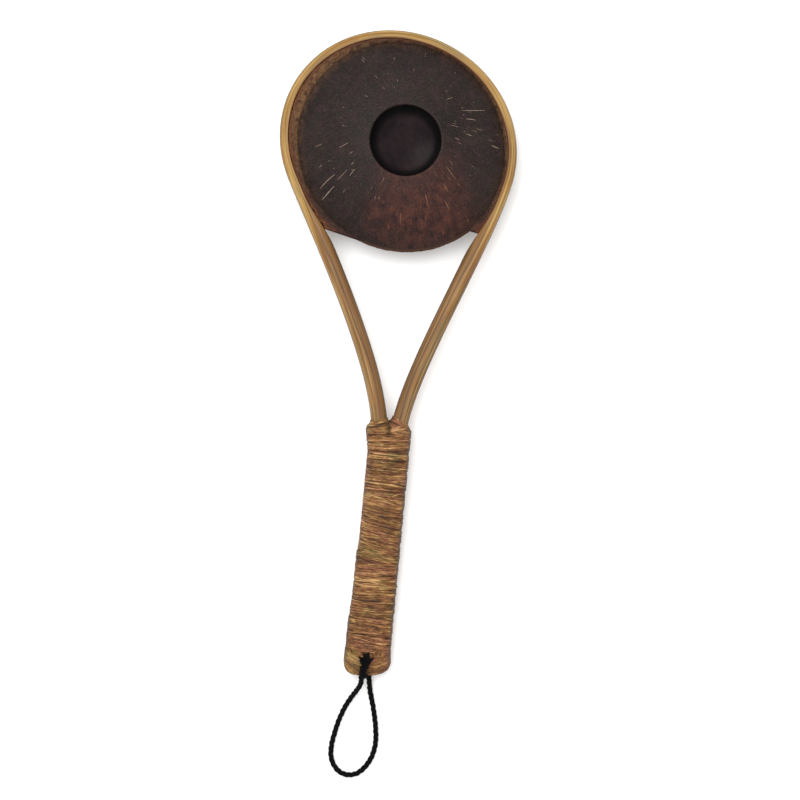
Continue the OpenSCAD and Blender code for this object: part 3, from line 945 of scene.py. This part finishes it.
def add_front_shell():
    """The half with the opening. Its inside runs back to the opening's edge, which is chamfered."""
    hole = RECESS_AT + on_oval((RECESS_R, RECESS_R, RIM[2]), np.degrees(around(SHELL_SIDES)))
    wobble = 0.12 * waves(at_height(hole, 0.0), 5.0, 8)
    chamfer = [(0.0, 0.75, 0.0, 0.0), (0.004, 0.4 + wobble, 0.0, 0.0), (0.013, 0.1 + wobble / 2, 0.08, 0.0)]
    chamfer.append((0.022, 0.0, 0.04, 0.6))
    outside, inside = np.linspace(0.036, 0.985, 110), np.linspace(1, 0, 30)
    made = shell_rings(FRONT_SEED, 1, hole, chamfer, outside, 0.993, 0.55, 0.965, inside)
    add_shell("shell_front", "front_shell", FRONT_SHELL, FRONT_POLE, True, *made)


def add_back_shell():
    outside, inside = np.linspace(0.004, 0.985, 120), np.linspace(1, 0.004, 30)
    made = shell_rings(BACK_SEED, -1, 0.0, [], outside, 0.994, 0.5, 0.97, inside)
    add_shell("shell_back", "back_shell", BACK_SHELL, BACK_POLE, False, *made)


# The longer pale fibres in the polished shell: (direction from the pole, start, length, tone).
LONG_FLECKS = [
    (9, 28, 12, 0.9), (8, 41, 5, 0.6), (1, 30, 5, 0.9), (-9, 23, 4, 0.8), (-13, 31.5, 3, 0.9),
    (-14, 45, 4, 0.8), (-21, 27, 2.5, 0.8), (25, 22, 3, 0.7), (228, 49, 9, 0.9), (223, 45, 10, 0.7),
    (227, 39, 7, 0.8), (231, 36, 4.5, 0.7), (242, 26, 6, 0.9), (210, 31, 5, 0.6), (202, 43, 4, 0.6),
    (-61, 46, 5, 0.1), (-89, 48, 5, 0.1), (-48, 32, 8, 0.15), (-72, 40, 6, 0.1), (-57, 39, 4, 0.2),
]
# Short ones, scattered: (direction, spread, nearest, furthest, how many, tone).
FLECK_GROUPS = [
    (2, 14, 22, 50, 16, 0.8), (-34, 12, 26, 50, 7, 0.5), (226, 14, 28, 54, 16, 0.8),
    (250, 10, 26, 50, 6, 0.6), (-70, 26, 34, 58, 14, 0.1), (112, 22, 12, 38, 10, 0.8),
    (175, 25, 20, 46, 8, 0.5), (60, 25, 16, 36, 6, 0.5),
]
# Flecks stay this far from the opening, and within this share of the rim.
FLECK_CLEARANCE = 0.8
FLECK_FURTHEST = 0.952


def fleck_rings(rng, direction, start, length, width):
    """A thin lens of fibre that lies along a meridian of the front dome, just proud of it."""
    s = np.linspace(0, 1, 9)
    a = math.radians(direction)
    turn = a + rng.normal(scale=0.003) * (s - 0.5) ** 2 * 4
    centre = FRONT_POLE + (start + length * s)[:, None] * np.stack([np.cos(turn), np.sin(turn)], -1)
    side = np.array([-math.sin(a), math.cos(a)])
    swell = pointed(s) ** 0.6
    rings = []
    for k in around(8):
        p = centre + side * (width / 2 * math.cos(k) * swell)[:, None]
        ring = uneven(p, SEAM_T / 2 + outside_z(p), FRONT_SEED)
        rings.append(ring + [0, 0, 0.04] + at_height(0 * p, 0.05 * math.sin(k) * swell))
    return np.stack(rings, 1)


def add_flecks():
    rng = np.random.default_rng(11)
    wanted = [(*fleck[:3], rng.uniform(0.24, 0.36), fleck[3]) for fleck in LONG_FLECKS]
    for direction, spread, near, far, count, tone in FLECK_GROUPS:
        for _ in range(count):
            length = rng.uniform(0.5, 1.7) ** 2
            lie = direction + rng.uniform(-spread, spread)
            wanted.append((lie, rng.uniform(near, far - length), length, rng.uniform(0.12, 0.26), tone))
    rings, tones = [], []
    for *place, tone in wanted:
        fleck = fleck_rings(rng, *place)
        from_hole = np.linalg.norm(fleck[..., :2] - RECESS_AT, axis=-1).min() - RECESS_R
        if from_hole > FLECK_CLEARANCE and share_out(fleck, RIM).max() < FLECK_FURTHEST:
            rings.append(fleck)
            tones.append(np.full(fleck.shape[:2], np.clip(tone + rng.normal(scale=0.12), 0, 1)))
    add_piece("shell_flecks", many_solids(np.array(rings), closed=False), FLECK, tone=np.stack(tones))


def add_recess():
    """The cup behind the opening. It stands square to the inside of the dome."""
    edge, flange, glue_t, steepness = 18.0, 21.5, 0.35, 5
    hollow_r = cap_radius(mean_width(HOLLOW), HOLLOW_H)
    centre_z = SEAM_T / 2 + HOLLOW_H - hollow_r
    floor_z = DOME_H + SEAM_T / 2 - RECESS_DEPTH - centre_z

    def seat_z(r):
        return np.sqrt((hollow_r - glue_t) ** 2 - r * r)

    def bowl_z(r, rim_r):
        return floor_z + (seat_z(edge) - floor_z) * (r / rim_r) ** steepness

    upper = [(r, bowl_z(r, edge)) for r in np.linspace(0.05, edge, 70)]
    lip = [(r, seat_z(r)) for r in np.linspace(edge + 0.6, flange, 4)]
    lower = [(r, bowl_z(r, flange + 0.6) - CUP_T) for r in np.linspace(flange, 0.05, 40)]
    profile = np.array(upper + lip + lower)
    r, z = profile[:, :1], profile[:, 1:]
    a = around(240)[None, :]
    p = xyz(r * np.cos(a), r * np.sin(a), z)
    worked = ramp((edge + 0.5 - r) / 3) * (np.arange(len(profile)) < len(upper))[:, None]
    p[..., 2] += worked * (0.16 * waves(p[..., :2], 7.0, 31) + 0.06 * waves(p[..., :2], 2.2, 32))
    lean_x, lean_y = np.arcsin(RECESS_AT / hollow_r)
    turn = np.array(Matrix.Rotation(lean_x, 3, "Y") @ Matrix.Rotation(-lean_y, 3, "X"))
    # tone rises from r = 12.2 to 15.8 and paints the lining's wall nearly black, as painted shade.
    add_piece(
        "recess_lining", solid(p @ turn.T + [0, 0, centre_z]), RECESS, replaces=["recess_cup"],
        lie=xyz(9 * np.cos(a), 9 * np.sin(a), r), tone=ramp((r - 12.2) / 3.6) * 0.97 + 0 * a,
    )


# Section of the glue between the rims: (distance out from the rim, height).
SEAM_SECTION = [
    (-5.0, -0.2), (-0.3, -0.24), (0.08, -0.24), (0.22, -0.12), (0.26, 0.0),
    (0.22, 0.12), (0.08, 0.24), (-0.3, 0.24), (-5.0, 0.2),
]


def add_seam():
    """The glue squeezed out between the rims, an uneven thin cord round the shell."""
    rim = on_oval(RIM, np.degrees(around(720)))
    lump = 0.06 * waves(rim, 3.0, 41) + 0.03 * waves(rim, 0.9, 42)
    rings = []
    for reach, z in SEAM_SECTION:
        rings.append(at_height(rim + unit(rim) * (reach + lump * (reach > 0))[:, None], z))
    shape = solid(np.stack(rings, 1), closed=True)
    add_piece("seam_glue", shape, GLUE, replaces=["shell_seam_glue"], tone=0.45, crust=0.3)


# ---- Glue between hoop and shell ----


def bead_path():
    """Axis and cut of the cane along the bead, and how whole, leaning and hollow-edged the bead is there."""
    left = np.linspace(WEB_END[-1], 0, 80)[:-1]
    right = np.linspace(0, WEB_END[1], 70)[1:]
    hoop = hoop_point(np.linspace(LEAVE[-1], LEAVE[1], 900))
    axis = np.vstack([leg_point(-1, left), hoop, leg_point(1, right)])
    down_leg = np.concatenate([left, np.zeros(len(hoop)), right])
    side = np.where(np.arange(len(axis)) < len(left), -1, 1)
    down_web = (down_leg / np.where(side < 0, WEB_END[-1], WEB_END[1])) ** 2
    lean = np.where(side < 0, WEB_LEAN[-1], WEB_LEAN[1]) * down_web
    bow = np.where(side < 0, WEB_BOW[-1], WEB_BOW[1]) * down_web
    return axis, cane_cut(axis, down_leg), 0.4 + 0.6 * ramp(1 - down_leg / 0.25), lean, bow


def add_bead(name, node, front):
    axis, cut, whole, lean, bow = bead_path()
    way, out = along_and_out(axis)
    at_cane = axis - out * (cut - 0.1)[:, None]
    away = unit(at_cane)
    away = np.stack(turned(away[:, 0], away[:, 1], np.radians(lean)), -1)
    reach = 1 / share_out(away, RIM) - 0.35
    seed = 51 if front else 57
    ragged = 1 + 0.16 * waves(axis, 14.0, seed) + 0.06 * waves(axis, 3.0, seed + 1)
    ragged = np.clip(ragged + 0.06 * waves(axis, 1.1, seed + 5), 0.4, 1.7)
    edge = away * reach[:, None]
    upper_left, right = bump_at(heading(away), 152, 42), bump_at(heading(away), 20, 45)
    narrow = BEAD_FOOT * (0.38 + 0.14 * upper_left)
    foot = away * (reach - narrow * whole * ragged)[:, None]
    crust = (0.2 + 0.55 * upper_left + 0.32 * right) * ramp((whole - 0.5) / 0.4)
    low = SEAM_T / 2 + 0.05
    cane_z = low + BEAD_RISE * whole * (1 + 0.1 * waves(axis, 5.0, seed + 2))
    foot_z = low + outside_z(foot) + 0.03
    columns, tones = [at_height(at_cane, low)], [0.0]
    for s in np.linspace(0, 1, 15):
        p = at_cane + (foot - at_cane) * s + way * (bow * 4 * s * (1 - s))[:, None]
        crease = 0.45 * bump(s, 0.07) * whole
        swell = 0.5 * math.sin(math.pi * s) ** 0.7 * whole * (s > 0)
        own = waves(p, 2.4, seed + 3) * 0.14 + waves(p, 0.9, seed + 4) * 0.06
        z = cane_z + (foot_z - cane_z) * s + swell - crease + own * math.sin(math.pi * s) ** 0.5
        columns.append(at_height(p, np.maximum(z, low + 0.1)))
        tones.append(s)
    columns += [at_height(foot, foot_z - 0.5), at_height(edge, low + outside_z(edge) - 0.3)]
    tones += [1.0, 1.0]
    shape = solid(np.stack(columns, 1) * [1, 1, 1 if front else -1])
    tone, crust = np.tile(tones, len(axis)), np.repeat(crust, len(columns))
    add_piece(name, shape, GLUE, replaces=[node], tone=tone, crust=crust)


# ---- Raffia ----

BUTT_FROM = -253.0
# How far the windings of each band lean from square to the handle, in degrees, from the fork down.
BAND_LEAN = [-3, 0, 1, 4, 9, 8, 8, -2, -3, 1, 3, 4]
STRAND_SPACING = 0.33


def snugness(along):
    """How much thinner than elsewhere the binding is on the handle's left side, as a share."""
    upper = 0.66 * ramp((-141 - along) / 13) * (1 - ramp((-198 - along) / 8))
    lower = 0.35 * ramp((-198 - along) / 6) * (1 - ramp((-226 - along) / 14))
    return upper + lower


def flat_oval(u, radius, along):
    """A share u of the way round the handle's flat oval section: across and up, and the way out there."""
    flat, arc = CANE_GAP, math.pi * GRIP_R
    s = (u % 1) * 2 * (flat + arc)
    sign = np.where(s >= flat + arc, -1.0, 1.0)
    s = np.where(s >= flat + arc, s - flat - arc, s)
    core = np.minimum(s, flat) - flat / 2
    a = math.pi / 2 - np.maximum(s - flat, 0) / GRIP_R
    out_across, out_up = sign * np.cos(a), sign * np.sin(a)
    left = 1 - snugness(along) * ramp(-out_across)
    resting = 0.5 * ramp(-out_up) * ramp((-190 - along) / 60)
    radius = CANE_R + (radius - CANE_R) * left - resting
    return sign * core + radius * out_across, radius * out_up, out_across, out_up


def ribbons(centres, outward, width, thick, roll, closed=False):
    """Rings of flat strands. centres and outward are (strands, steps, 3), and the rest (strands, steps)."""
    if closed:
        way = unit(np.roll(centres, -1, 1) - np.roll(centres, 1, 1))
    else:
        way = unit(np.gradient(centres, axis=1))
    side = unit(np.cross(way, outward))
    face = np.cross(side, way)
    rings = []
    for a in around(6):
        flat = width / 2 * math.cos(a)
        high = thick / 2 * math.sin(a)
        sideways = flat * np.cos(roll) - high * np.sin(roll)
        outwards = flat * np.sin(roll) + high * np.cos(roll)
        rings.append(centres + side * sideways[..., None] + face * outwards[..., None])
    return np.stack(rings, 2)


def strand_lies(rings, rng):
    """Each point's place across its strand, round it and along it, with every strand somewhere of its own."""
    step = np.linalg.norm(np.diff(rings.mean(2), axis=1), axis=-1)
    run = np.concatenate([np.zeros((len(rings), 1)), np.cumsum(step, 1)], 1)
    run = np.minimum(run, run[:, -1:] - run)
    own = rng.uniform(0, 400, (len(rings), 2))[:, :, None, None]
    a = around(rings.shape[2])
    return xyz(own[:, 0] + 0.6 * np.cos(a), own[:, 1] + 0.3 * np.sin(a), run[..., None])


def grime_at(p):
    """How much painted shade the binding has: most along the handle's two sides and in the crease of the
    fork.
    """
    across = p[:, 0] - handle_x(p[:, 1])
    return np.maximum(ramp((np.abs(across) - 9.3) / 1.9), bump(across, 1.3) * ramp((p[:, 1] + 145) / 2))


def add_strands(name, rings, tone, hue, rng, closed=False, replaces=()):
    """One piece of many strands. tone and hue hold one value for each strand."""
    shape = many_solids(rings, closed)
    points_each = rings.shape[1] * rings.shape[2]
    add_piece(
        # The binding's sides and the fork's crease carry painted shade.
        name, shape, RAFFIA, replaces=replaces, lie=strand_lies(rings, rng), grime=grime_at(shape[0]),
        tone=np.repeat(tone, points_each), hue=np.repeat(hue, points_each),
    )


def one_in_each(rng, count):
    """Places from 0 to 1, one in each of count equal parts."""
    return (np.arange(count) + rng.uniform(0.1, 0.9, count)) / count


def varied(rng, count, middle, spread, low=0.0, high=1.0):
    return np.clip(middle + rng.normal(scale=spread, size=count), low, high)


def around_noise(rng, count, u, most=4):
    """A gentle closed wave of about -1 to 1 for each of count strands."""
    total = 0
    for k in range(1, most + 1):
        size = rng.normal(size=(count, 1))
        total = total + size * np.cos(2 * math.pi * (k * u + rng.uniform(size=(count, 1)))) / k
    return total / 1.3


def draws(rng, count, *ranges):
    """For each range, one value in it for each strand."""
    return [rng.uniform(low, high, (count, 1)) for low, high in ranges]


def handle_rings(rng, start, lean, radius, width, thick):
    """Closed windings round the handle, one for each start."""
    count, start = len(start), start[:, None]
    u = np.linspace(0, 1, 90, endpoint=False)[None, :]
    radius = radius[:, None] + 0.12 * around_noise(rng, count, u)
    across, up, out_across, out_up = flat_oval(u, radius, start)
    along = start - across * np.tan(lean)[:, None] + 0.24 * around_noise(rng, count, u, most=7)
    outward = xyz(out_across * math.cos(HANDLE_LEAN), -out_across * math.sin(HANDLE_LEAN), out_up)
    width = width * (1 + 0.18 * around_noise(rng, count, u))
    roll = 0.3 * around_noise(rng, count, u)
    return ribbons(on_handle(across, along, up), outward, width, thick, roll, closed=True)


def add_grip():
    """The outer winding: bands of strands wound close together, with a few loose ones over them."""
    rng = np.random.default_rng(23)
    edges = np.linspace(HANDLE_TOP + 1.9, BUTT_FROM, len(BAND_LEAN) + 1)
    edges[1:-1] += rng.uniform(-1.4, 1.4, len(BAND_LEAN) - 1)
    middles = (edges[:-1] + edges[1:]) / 2

    def lean_at(y, spread):
        lean = np.interp(-y, -middles, np.radians(BAND_LEAN))
        return lean + rng.normal(scale=math.radians(spread), size=len(y))

    for i, (top, bottom) in enumerate(zip(edges[:-1], edges[1:]), 1):
        count = round((top - bottom) / STRAND_SPACING)
        place = one_in_each(rng, count)
        from_middle = np.abs(2 * place - 1)
        start = top + (bottom - top) * place
        lean = lean_at(start, 1.7)
        crown = 0.42 * (1 - from_middle**4) + rng.uniform(-0.1, 0.05)
        radius = GRIP_R - 0.4 + crown + rng.uniform(-0.15, 0.15, count)
        width, thick = draws(rng, count, (0.4, 0.9), (0.2, 0.34))
        rings = handle_rings(rng, start, lean, radius, width, thick)
        band_tone, band_hue = rng.uniform(0.46, 0.56), rng.uniform(0.32, 0.58)
        # Strands at a band's edges are darker: painted shade in the grooves between bands.
        tone = varied(rng, count, band_tone - 0.3 * from_middle**5, 0.1, 0.05, 0.9)
        # About one strand in twelve is pale: partly the fibre's own paler colour and partly painted
        # highlight.
        tone = np.where(rng.uniform(size=count) > 0.92, rng.uniform(0.75, 0.95, count), tone)
        hue = varied(rng, count, band_hue, 0.18)
        add_strands(f"grip_winding_{i:02d}", rings, tone, hue, rng, closed=True, replaces=["grip_binding"])
    count = 44
    start = rng.uniform(edges[-1] + 2, edges[0] - 9, count)
    lean = lean_at(start, 5)
    width, thick = draws(rng, count, (0.25, 0.5), (0.16, 0.24))
    rings = handle_rings(rng, start, lean, np.full(count, GRIP_R + 0.12), width, thick)
    tone, hue = rng.uniform(0.35, 0.98, count), rng.uniform(0.2, 0.9, count)
    add_strands("grip_crossing_strands", rings, tone, hue, rng, closed=True)


def add_core(name, rings, replaces=(), closed=False, tone=0.3, hue=0.4):
    """A solid of bound raffia under the strands that show, painted darker as shade."""
    lie = rings[..., [1, 2, 0]] * [3, 1, 1]
    add_piece(name, solid(rings, closed), RAFFIA_IN_SHADE, replaces=replaces, lie=lie, tone=tone, hue=hue)


# Sleeves under the strands: (piece, node, radius inside, radius outside, start, end, rib, pitch, seed).
SLEEVES = [
    ("under_winding", "under_binding", CANE_R, UNDER_R, HANDLE_TOP + 0.5, HANDLE_END + 4.5, 0.18, 1.1, 95),
    ("grip_core", "grip_binding", UNDER_R, GRIP_R - 0.3, HANDLE_TOP + 1.0, BUTT_FROM - 1.0, 0.08, 0.7, 97),
]
SLEEVE_GAP = 0.08


def add_sleeve(name, node, inner, outer, start, end, rib, pitch, seed):
    """A ribbed sleeve of the handle's flat oval section."""
    u = np.linspace(0, 1, 160, endpoint=False)
    rings = []
    for y in np.arange(start, end, -0.3):
        across, up, _, _ = flat_oval(u, outer + rib * (math.cos(2 * math.pi * y / pitch) - 1), y)
        p = on_handle(across, y, up)
        rings.append(p + 0.08 * rib * waves(p, 1.5, seed)[:, None])
    for y in np.linspace(end, start, 40):
        across, up, _, _ = flat_oval(u, inner + SLEEVE_GAP, y)
        rings.append(on_handle(across, y, up))
    add_core(name, np.array(rings), [node], closed=True)


# ---- Windings at the fork ----

# Where the windings round a leg start, and how far up they go.
FORK_FOOT = -144.4
FORK_RISE = 7.4
# How steeply they rise towards the middle, in degrees: (at the grip, more than that where they run out).
FORK_SLOPE = {-1: (1, 12), 1: (8, 16)}
FORK_HUE = {-1: 0.55, 1: 0.35}
FORK_SEED = {-1: 61, 1: 67}


def leg_across(side, y):
    """Where the axis of one leg passes a height near the fork."""
    axis = leg_point(side, np.linspace(0.7, 1, 200))
    return np.interp(-np.asarray(y), -axis[:, 1], axis[:, 0])


def fork_radius(place):
    """Radius of the windings round a leg, from the grip (place = 0) up to where they run out (place = 1)."""
    thick = 2.2 * (0.74 + 0.26 * ramp(place / 0.16)) * (1 - 0.95 * ramp((place - 0.45) / 0.53))
    return CANE_R + 0.25 + thick


def own_side(side, x, middle):
    """x, held on the leg's own side of middle."""
    return side * np.maximum(side * x, side * middle)


def add_fork_wraps(side, name, node):
    """Windings round one leg above the grip, higher between the legs, as the figure of eight pulls them."""
    rng = np.random.default_rng(FORK_SEED[side])
    count = 58
    place = one_in_each(rng, count)
    low, more = FORK_SLOPE[side]
    slope = np.radians(low + more * place + rng.normal(scale=3.0, size=count))[:, None]
    u = np.linspace(0, 1, 72, endpoint=False)[None, :]
    a = 2 * math.pi * u
    radius = (fork_radius(place) + rng.uniform(-0.14, 0.14, count))[:, None]
    radius = radius + 0.08 * around_noise(rng, count, u)
    x = radius * np.cos(a)
    y = FORK_FOOT + FORK_RISE * place[:, None] - side * x * np.tan(slope)
    y = y + 0.15 * around_noise(rng, count, u)
    px = own_side(side, leg_across(side, y) + x, handle_x(y) - side * 0.15)
    outward = xyz(np.cos(a), 0 * y, np.sin(a))
    width, thick = draws(rng, count, (0.4, 0.9), (0.2, 0.32))
    roll = 0.3 * around_noise(rng, count, u)
    rings = ribbons(xyz(px, y, radius * np.sin(a)), outward, width, thick, roll, closed=True)
    # The lowest windings are darker: painted shade where they meet the grip.
    tone = varied(rng, count, 0.55 - 0.4 * (1 - ramp(place / 0.14)), 0.16, 0.05, 0.95)
    hue = varied(rng, count, FORK_HUE[side], 0.18)
    add_strands(name, rings, tone, hue, rng, closed=True, replaces=[node])


def add_fork_core(side, name):
    """The inside of the wraps at the fork, painted dark as shade."""
    a = around(64)
    low, more = FORK_SLOPE[side]
    rings = []
    for place in np.linspace(-0.05, 0.97, 36):
        radius = fork_radius(place) - 0.3 + 0.06 * math.cos(place * 45)
        height = FORK_FOOT + FORK_RISE * place
        x = own_side(side, leg_across(side, height) + radius * np.cos(a), handle_x(height))
        rise = math.tan(math.radians(low + more * place))
        rings.append(xyz(x, height - side * radius * np.cos(a) * rise, radius * np.sin(a)))
    add_core(name, np.array(rings), tone=0.25)


def add_fork_crossing():
    """Strands that cross from one leg to the other in front of the fork and behind it."""
    rng = np.random.default_rng(71)
    count = 14
    s = np.linspace(-1, 1, 40)[None, :]
    rising = np.where(rng.uniform(size=count) > 0.4, 1.0, -1.0)[:, None]
    face = np.where(np.arange(count) % 2 == 0, 1.0, -1.0)[:, None]
    across = rng.uniform(7.5, 9.6, (count, 1)) * s
    lobe = CANE_R + 2.45
    hump = np.sqrt(np.maximum(lobe**2 - (np.abs(across) - CANE_GAP / 2) ** 2, 0.2))
    up = face * (hump - 0.5 * bump(across, 1.8) + rng.uniform(-0.1, 0.15, (count, 1)))
    along = rng.uniform(-144.2, -142.0, (count, 1)) + rising * across * rng.uniform(0.02, 0.2, (count, 1))
    along = np.minimum(along, -140.4 - 0.12 * np.abs(across))
    outward = unit(xyz(across * 0.12, 0 * across, face))
    width, thick = draws(rng, count, (0.35, 0.7), (0.18, 0.26))
    width = width * (1 - 0.5 * np.abs(s) ** 6)
    roll = 0.25 * around_noise(rng, count, (s + 1) / 4)
    rings = ribbons(on_handle(across, along, up), outward, width, thick, roll)
    tone, hue = rng.uniform(0.2, 0.8, count), rng.uniform(0.1, 0.6, count)
    add_strands("fork_crossing_strands", rings, tone, hue, rng)


def add_fork_fan():
    """Pale strands that fan out from the crease over the right leg's wraps, in front."""
    rng = np.random.default_rng(73)
    count = 8
    s = np.linspace(0, 1, 30)[None, :]
    spread = np.linspace(0, 1, count)[:, None]
    across = 0.9 + (1.6 + 6.2 * spread) * s
    along = -143.3 + 0.5 * spread + (6.2 - 3.6 * spread) * s**0.8
    radius = fork_radius(np.clip((along - FORK_FOOT) / FORK_RISE, 0, 1)) + 0.42
    reach = handle_x(along) + across - leg_across(1, along)
    up = np.sqrt(np.maximum(radius**2 - reach**2, 1.0))
    outward = unit(xyz(reach, 0 * reach, up))
    roll = 0.2 * around_noise(rng, count, s * 0.7)
    width = 0.62 * pointed(s) ** 0.5
    rings = ribbons(on_handle(across, along, up), outward, width, 0.2, roll)
    tone, hue = rng.uniform(0.75, 1.0, count), rng.uniform(0.15, 0.5, count)
    add_strands("fork_fan_strands", rings, tone, hue, rng)


# ---- Bound end: two lobes, one over each end of the cane ----

BUTT_A = CANE_GAP / 2 + 6.95
BUTT_L = BUTT_FROM - HANDLE_END + BUTT_T - 1.2
BUTT_EDGE = BUTT_A * 0.985
# How round the butt's outline is: 2 is an ellipse, and more is squarer.
BUTT_OUTLINE = 3.8
BUTT_SQUARENESS = 0.5


def butt_height(across):
    beyond = np.maximum(np.abs(across) - CANE_GAP / 2, 0)
    side = BUTT_A - CANE_GAP / 2
    return np.sqrt(np.maximum(side**2 - beyond**2, 0.0)) - 0.6 * bump(across, 2.2) - 0.35


def butt_reach(across):
    outline = np.maximum(1 - np.abs(across / BUTT_A) ** BUTT_OUTLINE, 0.0) ** (1 / BUTT_OUTLINE)
    slope = np.where(across > 0, -0.17, -0.03) * across * outline
    return BUTT_L * outline - 0.3 * bump(across, 2.2) + slope


def on_butt(across, angle, proud=0.0, lead=0.0):
    """Over the butt's end from its back (-90 degrees) to its front (90), in the plane that lies across."""
    rise = np.sign(np.sin(angle)) * np.abs(np.sin(angle)) ** BUTT_SQUARENESS
    out = np.abs(np.cos(angle)) ** BUTT_SQUARENESS
    up = rise * (butt_height(across) + proud)
    along = BUTT_FROM + lead * (1 - out) ** 3 - out * (butt_reach(across) + proud)
    return on_handle(across + 0.5 * ramp(across / BUTT_A) * out, along, up)


def butt_strands(rng, lane, sweep, width, thick, proud, lead):
    """Flat strands on the butt. lane and sweep are arrays (strands, steps) of across and angle."""
    centres = on_butt(lane, sweep, proud, lead)
    middle = on_handle(lane * 0.55, BUTT_FROM - 3.0, 0.0)
    turns = np.linspace(0.1, 0.9, lane.shape[1])[None, :]
    roll = 0.3 * around_noise(rng, len(lane), turns)
    return ribbons(centres, unit(centres - middle), width, thick, roll)


def add_butt_core():
    angle = np.linspace(-math.pi / 2, math.pi / 2, 61)
    across = BUTT_A * np.sin(np.linspace(-math.pi / 2, math.pi / 2, 90)) * 0.999
    surface = on_butt(across[:, None] * 0.97, angle[None, :], -0.3)
    lie = surface * [2, 0.4, 1]
    add_piece("butt_core", solid(surface), RAFFIA, replaces=["butt_binding"], lie=lie, tone=0.35, hue=0.5)


def add_butt_wrap(rng):
    """Strands laid over the core lengthwise."""
    count = 170
    root = BUTT_A * 0.975 * np.sin(math.pi * (one_in_each(rng, count) - 0.5))
    sweep = np.linspace(-math.pi / 2, math.pi / 2, 60)[None, :]
    pull = rng.normal(scale=1.3, size=(count, 1)) * np.sin(sweep)
    pull = pull + 0.5 * around_noise(rng, count, (sweep + 2) / 7)
    lane = np.clip(root[:, None] + pull, -BUTT_EDGE, BUTT_EDGE)
    width, thick, lead, proud = draws(rng, count, (0.35, 0.85), (0.18, 0.3), (-0.8, 1.2), (-0.15, 0.15))
    rings = butt_strands(rng, lane, sweep, width, thick, proud, lead)
    tone = varied(rng, count, 0.47 - 0.008 * root, 0.06, 0.1, 0.95)
    hue = varied(rng, count, 0.56 - 0.02 * root, 0.11)
    add_strands("butt_wrap", rings, tone, hue, rng, replaces=["butt_binding"])


def add_butt_cross_wrap(rng):
    """Strands laid round the two lobes."""
    count = 320
    side = np.where(np.arange(count) % 2 == 0, 1.0, -1.0)[:, None]
    face = np.where(np.arange(count) // 2 % 2 == 0, 1.0, -1.0)[:, None]
    s = np.linspace(0, 1, 36)[None, :]
    lane = rng.uniform(0.05, 0.4, (count, 1)) * (1 - s) + 0.985 * np.sin(s * math.pi / 2)
    lane = side * BUTT_A * lane
    lane = np.clip(lane, -BUTT_EDGE, BUTT_EDGE)
    low = rng.uniform(0.2, 0.99, (count, 1))
    down = low * (1 - rng.uniform(0.15, 0.6, (count, 1)) * s)
    down = down + 0.012 * around_noise(rng, count, s * 0.8)
    sweep = face * np.arccos(np.clip(down, 0.05, 0.999) ** 2)
    proud, lead, width, thick = draws(rng, count, (0.1, 0.26), (-0.5, 3.0), (0.35, 0.7), (0.16, 0.24))
    rings = butt_strands(rng, lane, sweep, width * pointed(s, 0.08) ** 0.4, thick, proud, lead)
    tone = varied(rng, count, 0.55 - 0.05 * side[:, 0], 0.14, 0.1, 0.95)
    hue = varied(rng, count, 0.58 - 0.18 * side[:, 0], 0.13)
    add_strands("butt_cross_wrap", rings, tone, hue, rng)


# The strand that has come loose on the front of the grip, as (across, along, up) on the handle.
LOOSE_STRAND = [
    (9.4, -172.6, 5.8), (7.2, -173.4, 7.3), (4.4, -174.6, 7.6), (1.6, -175.9, 7.65),
    (0.6, -176.3, 7.6), (1.6, -176.5, 7.5), (3.6, -176.9, 7.4), (5.6, -177.6, 7.1),
]


def add_loose_strand():
    line = smooth_line([on_handle(*place) for place in LOOSE_STRAND], 0.4)[None]
    s = np.linspace(0, 1, line.shape[1])[None, :]
    outward = unit(np.array([0.1, 0.0, 1.0]))
    rings = ribbons(line, outward, 0.5 * pointed(s) ** 0.4, 0.18, 0.25 * np.sin(9 * s))
    add_strands("loose_strand", rings, 0.92, 0.5, np.random.default_rng(89))


# ---- Seeds ----


def add_seed(name):
    """A bean of uneven shape, inside the round space that the CAD seed holds."""
    number = int(name[-2:])
    low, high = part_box(name)
    centre = np.array((low + high) / 2) / MM
    rng = np.random.default_rng(number + 100)
    latitude = np.linspace(0.02, math.pi - 0.02, 22)[:, None]
    a = around(32)[None, :]
    way = xyz(np.sin(latitude) * np.cos(a), np.sin(latitude) * np.sin(a), np.cos(latitude))
    size = SEED_R * np.array([1.0, rng.uniform(0.74, 0.86), rng.uniform(0.66, 0.8)])
    dent = 0.16 * np.exp(-((way - [0, 1, 0]) ** 2).sum(-1) / 0.18)
    rough = 0.98 + 0.018 * waves(way * SEED_R, 2.0, number) - dent
    turn, lean = rng.uniform(0, 6.28), rng.uniform(-0.5, 0.5)
    spin = np.array(Matrix.Rotation(turn, 3, "Z") @ Matrix.Rotation(lean, 3, "X"))
    rings = (way * rough[..., None] * size * 0.985) @ spin.T + centre
    add_piece(name + "_bean", solid(rings), SEED, body=name, replaces=[name], in_head=False)


# ---- The whole rattle ----

add_camera()
add_stage()
cord, cord_line = add_cord()
knot_pieces = add_knot()
add_cane()
add_front_shell()
add_back_shell()
add_flecks()
add_recess()
add_seam()
add_bead("glue_bead_front", "front_glue_fillet", front=True)
add_bead("glue_bead_back", "back_glue_fillet", front=False)
for sleeve in SLEEVES:
    add_sleeve(*sleeve)
add_grip()
for side, word in ((-1, "left"), (1, "right")):
    add_fork_wraps(side, f"fork_wrap_{word}", f"{word}_fork_binding")
    add_fork_core(side, f"fork_core_{word}")
add_fork_crossing()
add_fork_fan()
add_butt_core()
butt_rng = np.random.default_rng(83)
add_butt_wrap(butt_rng)
add_butt_cross_wrap(butt_rng)
add_loose_strand()
for name in sorted(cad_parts):
    if name.startswith("seed_"):
        add_seed(name)
